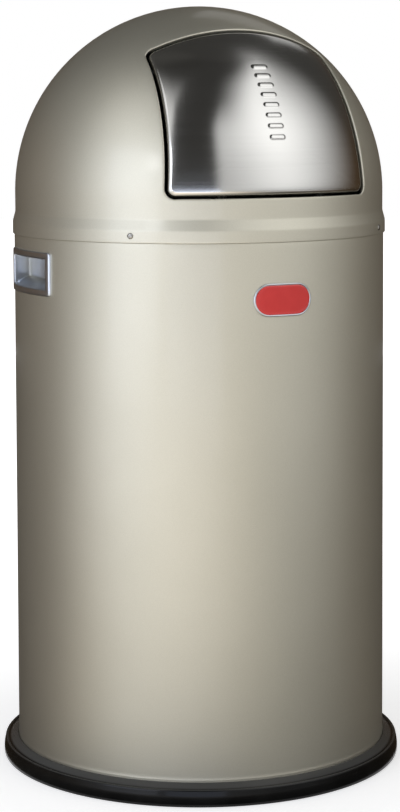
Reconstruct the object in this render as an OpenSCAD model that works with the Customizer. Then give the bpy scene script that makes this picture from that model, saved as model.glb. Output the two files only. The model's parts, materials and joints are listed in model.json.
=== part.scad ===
// Round push-flap waste bin with a lift-off domed lid and an inner pail.
// Millimetres, +Z up. The origin is the centre of the base on the floor.
// The flap faces -Y and the recessed grips face -X and +X.

/* [Body] */
// Outside diameter of the sheet body
body_d = 370; // [364:1:376]
// Wall of the sheet body
body_wall = 0.8; // [0.7:0.1:1.2]
// Height of the seam between body and lid above the floor
seam_z = 526.5; // [500:0.5:620]
// Outside radius of the rolled edge at the body's mouth
rim_roll_r = 2.7; // [2.2:0.1:3.2]
// Height of the small bead above the body's foot
foot_bead_rise = 2.2; // [1.8:0.1:4]

/* [Base ring] */
// How far the foot of the moulded base ring stands out of the body
ring_flare = 15; // [11:0.5:20]
// Width of the base ring across its foot
ring_foot_w = 28; // [24:0.5:35]
// Height of the base ring where it meets the body
ring_h = 19.9; // [18:0.1:26]
// Depth of the groove that holds the body's foot
ring_groove_depth = 11.9; // [8:0.1:12.5]
// Height of the ledge that the floor pan stands on
ring_ledge_z = 16; // [14.5:0.5:17.5]

/* [Floor pan] */
// Sheet of the floor pan
pan_wall = 1; // [1:0.1:1.6]
// Height of the turned-down edge of the floor pan
pan_edge_h = 7.2; // [5:0.1:9]
// Height of the two pressed rings in the floor pan
pan_rib_h = 1.6; // [1:0.1:2.4]

/* [Grips] */
// Width of a grip's frame, straight across
grip_w = 97; // [80:1:104]
// Height of a grip's frame
grip_h = 42; // [38:1:48]
// Drop from the lid seam to the middle of a grip
grip_drop = 34.2; // [32:0.1:50]
// Width of the frame around a grip's mouth
grip_border = 6.5; // [5:0.5:8]
// Depth of the finger cup behind the body's face
grip_depth = 19; // [14:0.5:20]
// Sheet of the grip
grip_wall = 1; // [0.8:0.1:1.4]
// How far the grip's frame stands out of the body
grip_proud = 2.2; // [1.6:0.1:3]
// Height of the undercut behind the top of the mouth
grip_undercut = 4; // [2:0.5:5]

/* [Nameplate] */
// Length of the blank nameplate
plate_w = 60; // [40:1:70]
// Height of the blank nameplate
plate_h = 31; // [22:1:36]
// Drop from the lid seam to the middle of the nameplate
plate_drop = 53.8; // [45:0.1:80]
// Width of the plate's raised border
plate_border = 1.8; // [1.2:0.1:3]
// Spacing of the two pins behind the nameplate
plate_pin_spacing = 36; // [20:1:40]

/* [Lid] */
// How much narrower the dome is than the body, on the radius
dome_inset = 1; // [0:0.1:2]
// Wall of the lid
lid_wall = 0.8; // [0.7:0.1:1.2]
// Height of the dome's centre above the lid seam
skirt_h = 40.5; // [36:0.5:60]
// How far the lid's band stands out of the body
band_proud = 1.6; // [1.3:0.1:2.2]
// Height of the band up to the step
band_h = 14; // [13:0.5:16]
// Height of the step between band and dome
step_h = 5; // [4:0.5:7]
// Outside radius of the rolled lower edge of the band
curl_r = 3.6; // [3.2:0.1:4]

/* [Flap] */
// Angle of the opening's lower edge above the dome's centre
opening_low = 0.5; // [0.5:0.5:4]
// Angle of the opening's upper edge above the dome's centre
opening_high = 59.5; // [54:0.5:61]
// Width of the dome beside the opening at mid height, seen from the front
opening_side_w = 84.1; // [82:0.1:94]
// Narrowing of each side of the opening per millimetre of height
opening_taper = 0.0756; // [0.05:0.0001:0.09]
// Corner radius of the opening
opening_corner_r = 12; // [9:0.5:16]
// Depth of the turned-in edge around the opening
opening_edge_depth = 7; // [5:0.5:7.5]
// Gap between the opening's edge and the flap
flap_gap = 2.3; // [2:0.1:3.5]
// Sheet of the flap
flap_wall = 0.9; // [0.7:0.1:1.2]
// How far the flap lies behind the dome's face
flap_inset = 0.8; // [0.4:0.1:1.4]
// Bend radius along the flap's edge
flap_bend_r = 5; // [3.5:0.5:6]
// Depth of the flap's turned-in edge
flap_edge_depth = 10; // [9:0.5:11]
// Number of raised grip ribs down the middle of the flap
flap_ribs = 8; // [4:1:9]
// Length of a grip rib
flap_rib_w = 15; // [10:1:24]
// Height of a grip rib
flap_rib_h = 4; // [3:0.5:5]
// Spacing of the grip ribs along the flap
flap_rib_pitch = 10.8; // [9:0.1:13]

/* [Flap hinge] */
// Room beside each hinge bracket, from its inner face to the dome's wall at the rod's height
hinge_room = 21.16; // [20:0.01:22]
// Angle of the hinge axis above the dome's centre
hinge_angle = 57; // [56:0.5:57.5]
// Radius of the hinge rod
rod_r = 3; // [2.5:0.1:3.5]
// Running clearance on the hinge rod's radius
rod_clearance = 0.05; // [0.03:0.01:0.08]
// How far the hinge brackets stand in from the sides of the opening
bracket_inset = 2.9; // [1:0.1:4]
// Gap between a hinge bracket and the flap arm beside it
arm_gap = 11; // [9:0.5:17]
// Sheet of the hinge brackets and arms
bracket_wall = 2; // [1.5:0.1:2.5]
// Wire of the return springs
spring_wire_d = 1.6; // [1.2:0.1:1.8]
// Turns of one return spring
spring_turns = 6; // [4:1:7]

/* [Lid tabs] */
// Width of a locating tab inside the lid
tab_w = 18; // [14:1:26]
// Reach of a locating tab below the lid seam
tab_reach = 18; // [12:0.5:24]
// Sheet of a locating tab
tab_wall = 1.5; // [1.2:0.1:2]
// Radius of the screws in the band
screw_r = 1.5; // [1.2:0.1:2]
// Height of the screws above the lid seam
screw_rise = 6.6; // [6.2:0.1:7]

/* [Pail] */
// Gap between the pail's rolled rim and the outside of the body
pail_gap = 23; // [22:0.5:30]
// Clear height between the pail's rim and the lid seam
pail_headroom = 53; // [46:0.5:90]
// Wall of the pail
pail_wall = 0.7; // [0.6:0.1:1.2]
// Radius of the pail's rolled rim
pail_roll_r = 3.5; // [2.5:0.1:4]
// How much narrower the pail's foot is than its mouth, on the radius
pail_taper = 6; // [2:0.5:12]
// Height of the pail's bottom above its foot
pail_bottom_rise = 5; // [3:0.5:10]
// Radius of the bail wire
bail_r = 2.5; // [2:0.1:3]
// Length of the grip on the bail
bail_grip_len = 96; // [70:1:130]
// Radius of the grip on the bail
bail_grip_r = 6.5; // [5:0.5:8]

/* [Hidden] */
$fn = 96;

// Clearance between curved faces that rest on each other
seat = 0.3;
// Clearance between sheets fastened to each other
lay = 0.1;
// Clearance between a fastener and the ring pressed on it
press_gap = 0.02;
// Clearance between the flap's faceted sheet and what is welded inside it
flap_fit = 0.8;
// Overshoot of a cutting tool past the face it cuts
over = 1;
// Length that is longer than anything on the part
far = 900;
// Steps of a rounded corner in an outline
corner_steps = 6;
// Steps of a long curved edge in an outline
edge_steps = 10;

body_r = body_d / 2;
body_in_r = body_r - body_wall;
ring_r = body_r + ring_flare;
ring_bore_r = ring_r - ring_foot_w;
foot_z = ring_h - ring_groove_depth;
pan_top_z = ring_ledge_z + pan_edge_h;
pan_r = body_in_r - seat;
grip_z = seam_z - grip_drop;
plate_z = seam_z - plate_drop;
dome_z = seam_z + skirt_h;
dome_r = body_r - dome_inset;
dome_in_r = dome_r - lid_wall;
band_r = body_r + band_proud;
band_in_r = band_r - lid_wall;
opening_mid = (opening_low + opening_high) / 2;
opening_half_w = dome_r - opening_side_w;
opening_sine = sin((opening_high - opening_low) / 2);
flap_r = dome_r - flap_inset;
flap_in_r = flap_r - flap_wall;
flap_margin = lid_wall + flap_gap;
bracket_x = opening_half_w - bracket_inset;
arm_x = bracket_x - arm_gap;
hinge_axis_r = sqrt(pow(dome_in_r, 2) - pow(bracket_x + hinge_room, 2));
hinge_depth = dome_r - hinge_axis_r;
hinge_y = -hinge_axis_r * cos(hinge_angle);
hinge_z = dome_z + hinge_axis_r * sin(hinge_angle);
rod_bore_r = rod_r + rod_clearance;
pail_rim_z = seam_z - pail_headroom;
pail_roll_in = body_r - pail_gap - pail_roll_r;
pail_top_r = pail_roll_in - pail_roll_r + pail_wall;
pail_foot_r = pail_top_r - pail_taper;
bail_z = pail_rim_z + seat + bail_grip_r;

// Points on an arc about [x, y]
function arc(x, y, r, from, to, steps = corner_steps) =
  [for (i = [0:steps]) let (a = from + (to - from) * i / steps) [x + r * cos(a), y + r * sin(a)]];

function reversed(points) = [for (i = [len(points) - 1:-1:0]) points[i]];
function mirrored(points) = [for (p = reversed(points)) [-p[0], p[1]]];
function flipped(points) = [for (p = reversed(points)) [p[0], -p[1]]];

// The opening's outline, seen along the axis through the middle of the flap.
// Its upper and lower edges lie in planes through the dome's centre.
// inset moves every edge inwards.
function rim_v(u, inset) = opening_sine * sqrt(pow(dome_r, 2) - u * u) - inset;
function side_u(v, inset) = opening_half_w - opening_taper * v - inset;
function corner(top, inset, u, tries = 6) =
  tries == 0 ? [u, top * rim_v(u, inset)]
             : corner(top, inset, side_u(top * rim_v(u, inset), inset), tries - 1);
function unit(p) = p / norm(p);
// Rounded corner on the right, from the side edge to the upper or lower edge
function corner_arc(top, inset) =
  let (r = max(opening_corner_r - inset, 2),
       p = corner(top, inset, opening_half_w),
       along_rim = unit([-1, top * opening_sine * p[0] / sqrt(pow(dome_r, 2) - p[0] * p[0])]),
       along_side = unit([top * opening_taper, -top]),
       half = acos(along_rim * along_side) / 2,
       centre = p + unit(along_rim + along_side) * r / sin(half),
       start = p + along_side * r / tan(half),
       from = atan2(start[1] - centre[1], start[0] - centre[0]))
  [for (i = [0:corner_steps])
    let (a = from + top * (180 - 2 * half) * i / corner_steps) centre + r * [cos(a), sin(a)]];
// Points between the two corners along the upper or lower edge
function rim_run(top, inset, from_u) =
  [for (i = [1:edge_steps - 1])
    let (u = from_u * (1 - 2 * i / edge_steps)) [u, top * rim_v(u, inset)]];
function between(a, b, steps) = steps < 2 ? [] : [for (i = [1:steps - 1]) a + (b - a) * i / steps];
function outline(inset, side_steps = 1) =
  let (upper = corner_arc(1, inset),
       lower = corner_arc(-1, inset),
       upper_u = upper[corner_steps][0],
       lower_u = lower[corner_steps][0])
  concat(upper, rim_run(1, inset, upper_u), mirrored(upper),
    between(mirrored(upper)[corner_steps], mirrored(reversed(lower))[0], side_steps),
    [for (p = lower) [-p[0], p[1]]], reversed(rim_run(-1, inset, lower_u)), reversed(lower),
    between(lower[0], upper[0], side_steps));

// Frame whose Z runs out of the dome through the middle of the flap and whose Y runs up the dome
module flap_frame() {
  translate([0, 0, dome_z]) rotate([90 - opening_mid, 0, 0]) children();
}
module opening_prism(inset) {
  flap_frame() linear_extrude(height = far) polygon(outline(inset));
}
module dome_ball(r) {
  translate([0, 0, dome_z]) sphere(r);
}
// Part of a shell between two spheres about the dome's centre, cut by the children
module dome_sheet(outer, thickness) {
  difference() {
    intersection() {
      dome_ball(outer);
      children();
    }
    dome_ball(outer - thickness);
  }
}
// Plate square to X between two distances from the middle, on the right side
module side_plate(from_x, thickness) {
  translate([from_x, 0, 0]) rotate([90, 0, 90]) linear_extrude(height = thickness) children();
}
// Ring of rectangular section
module ring(outer, inner, low, high) {
  translate([0, 0, low]) difference() {
    cylinder(r = outer, h = high - low);
    translate([0, 0, -over]) cylinder(r = inner, h = high - low + 2 * over);
  }
}
module rounded_rectangle(w, h, r) {
  square([w - 2 * r, h], center = true);
  square([w, h - 2 * r], center = true);
  for (x = [-1, 1], y = [-1, 1]) translate([x * (w / 2 - r), y * (h / 2 - r)]) circle(r);
}
// Prism along X through the right wall, drawn in the plane that faces it
module through_right_wall(z) {
  translate([0, 0, z]) rotate([90, 0, 90]) linear_extrude(height = far) children();
}
// Prism along -Y through the front wall, drawn as seen from the front
module through_front_wall(z) {
  translate([0, 0, z]) rotate([90, 0, 0]) linear_extrude(height = far) children();
}
module left_and_right() {
  children();
  mirror([1, 0, 0]) children();
}

// Base ring: a moulded ring whose groove holds the body's foot
ring_foot_edge = 1.2;
ring_side_h = 4.5;
ring_ridge_inset = 4.6;
ring_ridge_drop = 5.7;
ring_ridge_round = 2.2;
ring_lip_w = 1.2;
ring_ridge_r = ring_r - ring_ridge_inset;
ring_ridge_z = ring_h - ring_ridge_drop;
ring_top_r = body_r + seat + ring_lip_w;
module base_ring() {
  color([0.06, 0.06, 0.06]) rotate_extrude() difference() {
    polygon(concat(
      [[ring_bore_r, 0], [ring_r - ring_foot_edge, 0], [ring_r, ring_foot_edge], [ring_r, ring_side_h]],
      arc(ring_ridge_r, ring_ridge_z, ring_ridge_round, 10, 80),
      [[ring_top_r, ring_h], [ring_bore_r, ring_h]]));
    translate([body_in_r - seat, foot_z]) square([body_wall + 2 * seat, ring_h]);
    translate([ring_bore_r - over, ring_ledge_z]) square([body_in_r - seat - ring_bore_r + 2 * over, ring_h]);
  }
}

// Floor pan: a pressed disc on the ring's ledge that the pail stands on
pan_rib_places = [60, 118];
pan_rib_w = 9;
module floor_pan() {
  color([0.62, 0.63, 0.64]) {
    ring(pan_r, pan_r - pan_wall, ring_ledge_z, pan_top_z);
    difference() {
      union() {
        translate([0, 0, pan_top_z - pan_wall]) cylinder(r = pan_r, h = pan_wall);
        for (r = pan_rib_places)
          ring(r + pan_rib_w / 2, r - pan_rib_w / 2, pan_top_z - pan_wall - pan_rib_h, pan_top_z);
      }
      for (r = pan_rib_places)
        ring(r + pan_rib_w / 2 - pan_wall, r - pan_rib_w / 2 + pan_wall, pan_top_z - pan_rib_h, pan_top_z + over);
    }
  }
}

// Body shell: a straight sheet tube with a rolled mouth, a small bead above its foot
// and a hole for each grip
rim_roll_z = seam_z - seat - rim_roll_r;
rim_roll_x = body_r - rim_roll_r;
grip_cut_w = grip_w - 2 * grip_border + 2 * grip_wall + 2 * seat;
grip_cut_h = grip_h - 2 * grip_border + 2 * grip_wall + 2 * seat;
plate_pin_r = 1.4;
foot_bead_r = 1.4;
module body_shell() {
  color([0.73, 0.7, 0.65]) difference() {
    rotate_extrude() difference() {
      union() {
        translate([body_in_r, foot_z]) square([body_wall, rim_roll_z - foot_z]);
        translate([rim_roll_x, rim_roll_z]) circle(rim_roll_r);
        translate([body_r - body_wall / 2, ring_h + foot_bead_rise]) circle(foot_bead_r);
      }
      translate([rim_roll_x, rim_roll_z]) circle(rim_roll_r - body_wall);
      translate([rim_roll_x - rim_roll_r - over, rim_roll_z - rim_roll_r - over])
        square([rim_roll_r + over, rim_roll_r + over]);
      translate([body_in_r - 2 * foot_bead_r, ring_h]) square([2 * foot_bead_r, foot_bead_rise + 2 * foot_bead_r]);
    }
    left_and_right() through_right_wall(grip_z) square([grip_cut_w, grip_cut_h], center = true);
    for (x = [-1, 1]) translate([x * plate_pin_spacing / 2, 0, plate_z]) rotate([90, 0, 0])
      cylinder(r = plate_pin_r + lay, h = far);
  }
}

// Grip: a pressed cup with a frame that lies on the body
grip_mouth_w = grip_w - 2 * grip_border;
grip_mouth_h = grip_h - 2 * grip_border;
grip_back_x = body_r - grip_depth;
grip_lip_x = body_r - grip_depth / 2;
grip_floor_rise = 7;
grip_floor_inset = 3;
grip_corner_r = 3;
module grip_hollow(grow) {
  half = grip_mouth_h / 2;
  translate([0, (grip_mouth_w + 2 * grow) / 2, grip_z]) rotate([90, 0, 0])
    linear_extrude(height = grip_mouth_w + 2 * grow) polygon([
      [far, -half - grow], [body_r - grip_floor_inset, -half - grow], [grip_back_x - grow, -half + grip_floor_rise - grow],
      [grip_back_x - grow, half + grip_undercut + grow], [grip_lip_x + grow, half + grip_undercut + grow],
      [grip_lip_x + grow, half + grow], [far, half + grow]]);
}
module grip() {
  color([0.8, 0.8, 0.79]) difference() {
    union() {
      intersection() {
        ring(body_r + lay + grip_proud, body_r + lay, grip_z - grip_h, grip_z + grip_h);
        through_right_wall(grip_z) rounded_rectangle(grip_w, grip_h, grip_corner_r);
      }
      intersection() {
        grip_hollow(grip_wall);
        cylinder(r = body_r + lay + grip_proud / 2, h = far);
      }
    }
    grip_hollow(0);
  }
}

// Grip retainer: a sheet frame inside the body, pressed over the cup
retainer_wall = 1.2;
retainer_rim = 5;
module grip_retainer() {
  color([0.6, 0.6, 0.6]) intersection() {
    ring(body_in_r - lay, body_in_r - lay - retainer_wall, grip_z - grip_h, grip_z + grip_h);
    through_right_wall(grip_z) difference() {
      rounded_rectangle(grip_cut_w + 2 * retainer_rim, grip_cut_h + 2 * retainer_rim, grip_corner_r);
      square([grip_cut_w - 2 * lay, grip_cut_h - 2 * lay], center = true);
    }
  }
}

// Nameplate: a blank metal tray with a raised border, two pins and an enamel field
plate_base = 1;
plate_rim_h = 1.9;
plate_field_h = 1.5;
plate_pin_reach = 3.5;
fastener_r = 4.5;
fastener_wall = 1.2;
module stadium(w, h) {
  square([w - h, h], center = true);
  for (x = [-1, 1]) translate([x * (w - h) / 2, 0]) circle(h / 2);
}
module nameplate() {
  color([0.8, 0.8, 0.78]) {
    intersection() {
      ring(body_r + lay + plate_rim_h, body_r + lay, plate_z - plate_h, plate_z + plate_h);
      through_front_wall(plate_z) difference() {
        stadium(plate_w, plate_h);
        stadium(plate_w - 2 * plate_border, plate_h - 2 * plate_border);
      }
    }
    intersection() {
      ring(body_r + lay + plate_base, body_r + lay, plate_z - plate_h, plate_z + plate_h);
      through_front_wall(plate_z) stadium(plate_w - plate_border, plate_h - plate_border);
    }
    for (x = [-1, 1]) intersection() {
      ring(body_r + lay + plate_base / 2, body_in_r - plate_pin_reach, plate_z - plate_h, plate_z + plate_h);
      translate([x * plate_pin_spacing / 2, 0, plate_z]) rotate([90, 0, 0]) cylinder(r = plate_pin_r, h = far);
    }
  }
}
module nameplate_enamel() {
  color([0.78, 0.08, 0.07]) intersection() {
    ring(body_r + lay + plate_field_h, body_r + lay + plate_base, plate_z - plate_h, plate_z + plate_h);
    through_front_wall(plate_z) stadium(plate_w - 2 * plate_border - lay, plate_h - 2 * plate_border - lay);
  }
}
module nameplate_fasteners() {
  color([0.55, 0.55, 0.55]) for (x = [-1, 1]) intersection() {
    ring(body_in_r - lay, body_in_r - lay - fastener_wall, plate_z - plate_h, plate_z + plate_h);
    translate([x * plate_pin_spacing / 2, 0, plate_z]) rotate([90, 0, 0]) difference() {
      cylinder(r = fastener_r, h = far);
      cylinder(r = plate_pin_r + press_gap, h = far);
    }
  }
}

// Lid dome: a half sphere, a short straight skirt, a step out to the band and a rolled lower edge
band_top_z = seam_z + band_h;
step_top_z = band_top_z + step_h;
curl_z = seam_z + curl_r;
step_round_h = 1;
step_round_w = 0.3;
function skirt_line(shift) = concat(
  arc(band_r - curl_r, curl_z, curl_r - shift, -90, 0),
  [[band_r - shift, band_top_z], [band_r - shift - step_round_w, band_top_z + step_round_h],
   [dome_r - shift + step_round_w, step_top_z - step_round_h], [dome_r - shift, step_top_z],
   [dome_r - shift, dome_z]]);
module lid_dome() {
  color([0.73, 0.7, 0.65]) difference() {
    union() {
      rotate_extrude() polygon(concat(skirt_line(0), reversed(skirt_line(lid_wall))));
      intersection() {
        difference() {
          dome_ball(dome_r);
          dome_ball(dome_in_r);
        }
        translate([0, 0, dome_z]) cylinder(r = dome_r + over, h = dome_r + over);
      }
      difference() {
        intersection() {
          dome_ball(dome_r - lay / 2);
          opening_prism(0);
        }
        flap_frame() translate([0, 0, -opening_edge_depth]) sphere(dome_r);
      }
    }
    opening_prism(lid_wall);
    around_lid() translate([band_r - curl_r, 0, screw_z]) rotate([0, 90, 0]) cylinder(r = screw_r + lay, h = far);
  }
}

// Locating tabs, screws and nuts: four sets on the diagonals inside the band
screw_z = seam_z + screw_rise;
tab_r = body_r - 2 * rim_roll_r - 2 * seat;
nut_h = 2.4;
nut_half_w = 2.7;
tab_shelf_z = screw_z - nut_half_w - seat - tab_wall;
module around_lid() {
  for (a = [45:90:315]) rotate([0, 0, a]) children();
}
module lid_tabs() {
  color([0.6, 0.6, 0.6]) around_lid() difference() {
    intersection() {
      union() {
        ring(tab_r, tab_r - tab_wall, seam_z - tab_reach, tab_shelf_z + tab_wall);
        ring(band_in_r - lay - curl_r / 4, tab_r - tab_wall, tab_shelf_z, tab_shelf_z + tab_wall);
        ring(band_in_r - lay, band_in_r - lay - tab_wall, curl_z - seat, band_top_z - over);
      }
      translate([0, -tab_w / 2, 0]) cube([far, tab_w, far]);
    }
    translate([0, 0, screw_z]) rotate([0, 90, 0]) cylinder(r = screw_r + lay, h = far);
  }
}
screw_head_r = 2.8;
screw_crown_r = 2.1;
screw_head_h = 1.5;
screw_slot_w = 0.8;
screw_slot_depth = 0.55;
screw_end = 1;
nut_out_r = band_in_r - lay - tab_wall - seat - lay;
module lid_screws() {
  start = nut_out_r - nut_h - screw_end;
  crown = band_r + lay + screw_head_h;
  color([0.5, 0.48, 0.45]) around_lid() difference() {
    translate([0, 0, screw_z]) rotate([0, 90, 0]) {
      translate([0, 0, start]) cylinder(r = screw_r, h = crown - screw_head_h / 2 - start);
      translate([0, 0, band_r + lay]) cylinder(r1 = screw_head_r, r2 = screw_crown_r, h = screw_head_h);
    }
    translate([crown - screw_slot_depth, -screw_slot_w / 2, screw_z - screw_head_r - over])
      cube([screw_head_h, screw_slot_w, 2 * (screw_head_r + over)]);
  }
}
module lid_screw_nuts() {
  color([0.6, 0.6, 0.6]) around_lid() translate([nut_out_r - nut_h, 0, screw_z]) rotate([0, 90, 0])
    difference() {
      rotate([0, 0, 30]) cylinder(r = nut_half_w / cos(30), h = nut_h, $fn = 6);
      translate([0, 0, -over]) cylinder(r = screw_r + press_gap, h = nut_h + 2 * over);
    }
}

// Hinge brackets, rod and rings: the flap hangs from a straight rod inside the dome
bracket_eye_r = 8;
bracket_spread = 16;
bracket_foot_wall = 1.5;
foot_w = 14;
// Plate outline about the hinge axis, running out towards the dome
module hinge_eye(eye_r, reach, up, down) {
  translate([hinge_y, hinge_z]) {
    circle(eye_r);
    rotate(180 - hinge_angle) polygon([[0, -eye_r], [reach, -up], [reach, down], [0, eye_r]]);
  }
}
// Sheet angle: a web square to X with a foot bent along the inside of a dome of radius r.
// It spans low_x to high_x, and from cut_low to cut_high only the foot is left.
module sheet_angle(r, low_x, high_x, cut_low, cut_high) {
  difference() {
    intersection() {
      dome_ball(r);
      side_plate(low_x, high_x - low_x) children();
    }
    intersection() {
      dome_ball(r - bracket_foot_wall);
      side_plate(cut_low, cut_high - cut_low) square(2 * far, center = true);
    }
    rod_bore();
  }
}
module hinge_bracket() {
  web_x = bracket_x + bracket_wall;
  color([0.6, 0.6, 0.6]) sheet_angle(dome_in_r - lay, bracket_x, bracket_x + foot_w, web_x, web_x + foot_w)
    hinge_eye(bracket_eye_r, hinge_depth + bracket_eye_r, bracket_spread, bracket_spread);
}
module rod_bore() {
  translate([-far / 2, hinge_y, hinge_z]) rotate([0, 90, 0]) cylinder(r = rod_bore_r, h = far);
}
rod_end = 4;
rod_half = bracket_x + bracket_wall + rod_end;
groove_depth = 0.5;
groove_r = rod_r - groove_depth;
groove_w = 1;
module hinge_rod() {
  color([0.75, 0.75, 0.75]) difference() {
    translate([-rod_half, hinge_y, hinge_z]) rotate([0, 90, 0]) cylinder(r = rod_r, h = 2 * rod_half);
    left_and_right() translate([bracket_x + bracket_wall + seat, hinge_y, hinge_z]) rotate([0, 90, 0]) difference() {
      cylinder(r = rod_r + over, h = groove_w);
      cylinder(r = groove_r, h = groove_w);
    }
  }
}
clip_w = 2.5;
clip_mouth_w = 4;
module rod_retainers() {
  color([0.3, 0.3, 0.3]) left_and_right() translate([bracket_x + bracket_wall + seat + lay, hinge_y, hinge_z])
    rotate([0, 90, 0]) difference() {
      cylinder(r = rod_r + clip_w, h = groove_w - 2 * lay);
      translate([0, 0, -over]) cylinder(r = groove_r + press_gap, h = groove_w + 2 * over);
      translate([-clip_mouth_w / 2, 0, -over]) cube([clip_mouth_w, far, groove_w + 2 * over]);
    }
}

// Flap panel: a curved sheet pan with rounded edges, swept as rings of points from the middle
// of the outer face, round the bent edge and back along the inner face
flap_rings = 6;
bend_steps = 4;
flap_side_steps = 8;
function on_flap(p, r, drop) = [p[0], p[1], sqrt(r * r - p[0] * p[0] - p[1] * p[1]) - drop];
// Rings over one face, growing from the middle to the start of the bend
function face_rings(r, inset) = [for (k = [1:flap_rings - 1])
  [for (p = outline(inset, flap_side_steps)) on_flap(p * k / flap_rings, r, 0)]];
function bend_rings(r, inset, bend) = [for (k = [0:bend_steps]) let (a = 90 * k / bend_steps)
  [for (p = outline(inset - bend * sin(a), flap_side_steps)) on_flap(p, r, bend * (1 - cos(a)))]];
function edge_ring(r, inset, drop) = [for (p = outline(inset, flap_side_steps)) on_flap(p, r, drop)];
module flap_sheet() {
  outer = concat(face_rings(flap_r, flap_margin + flap_bend_r), bend_rings(flap_r, flap_margin + flap_bend_r, flap_bend_r),
    [edge_ring(flap_r, flap_margin, flap_edge_depth)]);
  inner_bend = flap_bend_r - flap_wall;
  inner = concat([edge_ring(flap_r, flap_margin + flap_wall, flap_edge_depth)],
    reversed(bend_rings(flap_in_r, flap_margin + flap_bend_r, inner_bend)),
    reversed(face_rings(flap_in_r, flap_margin + flap_bend_r)));
  rings = concat(outer, inner);
  n = len(rings[0]);
  count = len(rings);
  points = concat([[0, 0, flap_r]], [for (r = rings) for (p = r) p], [[0, 0, flap_in_r]]);
  last = len(points) - 1;
  at = function(k, i) 1 + k * n + i % n;
  faces = concat(
    [for (i = [0:n - 1]) [0, at(0, i + 1), at(0, i)]],
    [for (k = [0:count - 2]) for (i = [0:n - 1]) [at(k, i), at(k, i + 1), at(k + 1, i)]],
    [for (k = [0:count - 2]) for (i = [0:n - 1]) [at(k, i + 1), at(k + 1, i + 1), at(k + 1, i)]],
    [for (i = [0:n - 1]) [last, at(count - 1, i), at(count - 1, i + 1)]]);
  flap_frame() polyhedron(points = points, faces = faces);
}
rib_rise = 0.9;
module flap_panel() {
  color([0.66, 0.66, 0.66]) {
    flap_sheet();
    dome_sheet(flap_r + rib_rise, rib_rise + flap_wall / 2) flap_frame()
      for (k = [0:flap_ribs - 1]) translate([0, (k - (flap_ribs - 1) / 2) * flap_rib_pitch, 0])
        linear_extrude(height = far) stadium(flap_rib_w, flap_rib_h);
  }
}

// Flap arms and hinge tube: welded inside the flap, they carry it on the rod
arm_eye_r = 7;
arm_foot_near = 16.5;
arm_foot_far = 43.7;
tube_wall = 2.15;
tube_r = rod_bore_r + tube_wall;
module flap_arm() {
  web_x = arm_x - bracket_wall;
  color([0.62, 0.62, 0.62]) sheet_angle(flap_in_r - flap_fit, arm_x - foot_w, arm_x, web_x - foot_w, web_x)
    hinge_eye(arm_eye_r, hinge_depth, -arm_foot_near, arm_foot_far);
}
module hinge_tube() {
  color([0.62, 0.62, 0.62]) translate([-arm_x + bracket_wall + lay, hinge_y, hinge_z]) rotate([0, 90, 0])
    difference() {
      cylinder(r = tube_r, h = 2 * (arm_x - bracket_wall - lay));
      translate([0, 0, -over]) cylinder(r = rod_bore_r, h = 2 * arm_x);
    }
}

// Return spring: an open coil of wire around the hinge tube with two straight legs
spring_gap = 0.5;
spring_inset = 38;
spring_r = tube_r + spring_gap + spring_wire_d / 2;
spring_pitch = spring_wire_d + spring_gap;
spring_x = arm_x - spring_inset;
spring_sides = 6;
spring_ring_steps = 8;
spring_leg = 26;
spring_from = 150;
function coil_point(i) = let (a = spring_from - 360 * i / spring_ring_steps)
  [spring_x + spring_pitch * i / spring_ring_steps, hinge_y + spring_r * cos(a), hinge_z + spring_r * sin(a)];
function coil_tangent(i) = unit(coil_point(i + 0.5) - coil_point(i - 0.5));
function coil_gap(steps) =
  min([for (i = [0:steps]) for (j = [i + spring_ring_steps / 2:steps]) norm(coil_point(i) - coil_point(j))])
    - spring_wire_d;
echo(str("Least gap of a return spring to itself in mm: ", coil_gap(spring_turns * spring_ring_steps)));
function wire_ring(p, t) = let (side = unit(cross(t, [1, 0, 0])), up = cross(side, t))
  [for (j = [0:spring_sides - 1]) let (a = 360 * j / spring_sides)
    p + spring_wire_d / 2 * (side * cos(a) + up * sin(a))];
module return_spring() {
  steps = spring_turns * spring_ring_steps;
  start_t = coil_tangent(0);
  end_t = coil_tangent(steps);
  rings = concat([wire_ring(coil_point(0) - start_t * spring_leg, start_t)],
    [for (i = [0:steps]) wire_ring(coil_point(i), coil_tangent(i))],
    [wire_ring(coil_point(steps) + end_t * spring_leg, end_t)]);
  count = len(rings);
  at = function(k, j) k * spring_sides + j % spring_sides;
  color([0.7, 0.7, 0.7]) polyhedron(points = [for (r = rings) for (p = r) p], faces = concat(
    [[for (j = [0:spring_sides - 1]) at(0, j)]],
    [for (k = [0:count - 2]) for (j = [0:spring_sides - 1]) [at(k, j + 1), at(k, j), at(k + 1, j)]],
    [for (k = [0:count - 2]) for (j = [0:spring_sides - 1]) [at(k, j + 1), at(k + 1, j), at(k + 1, j + 1)]],
    [[for (j = [spring_sides - 1:-1:0]) at(count - 1, j)]]));
}

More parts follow.
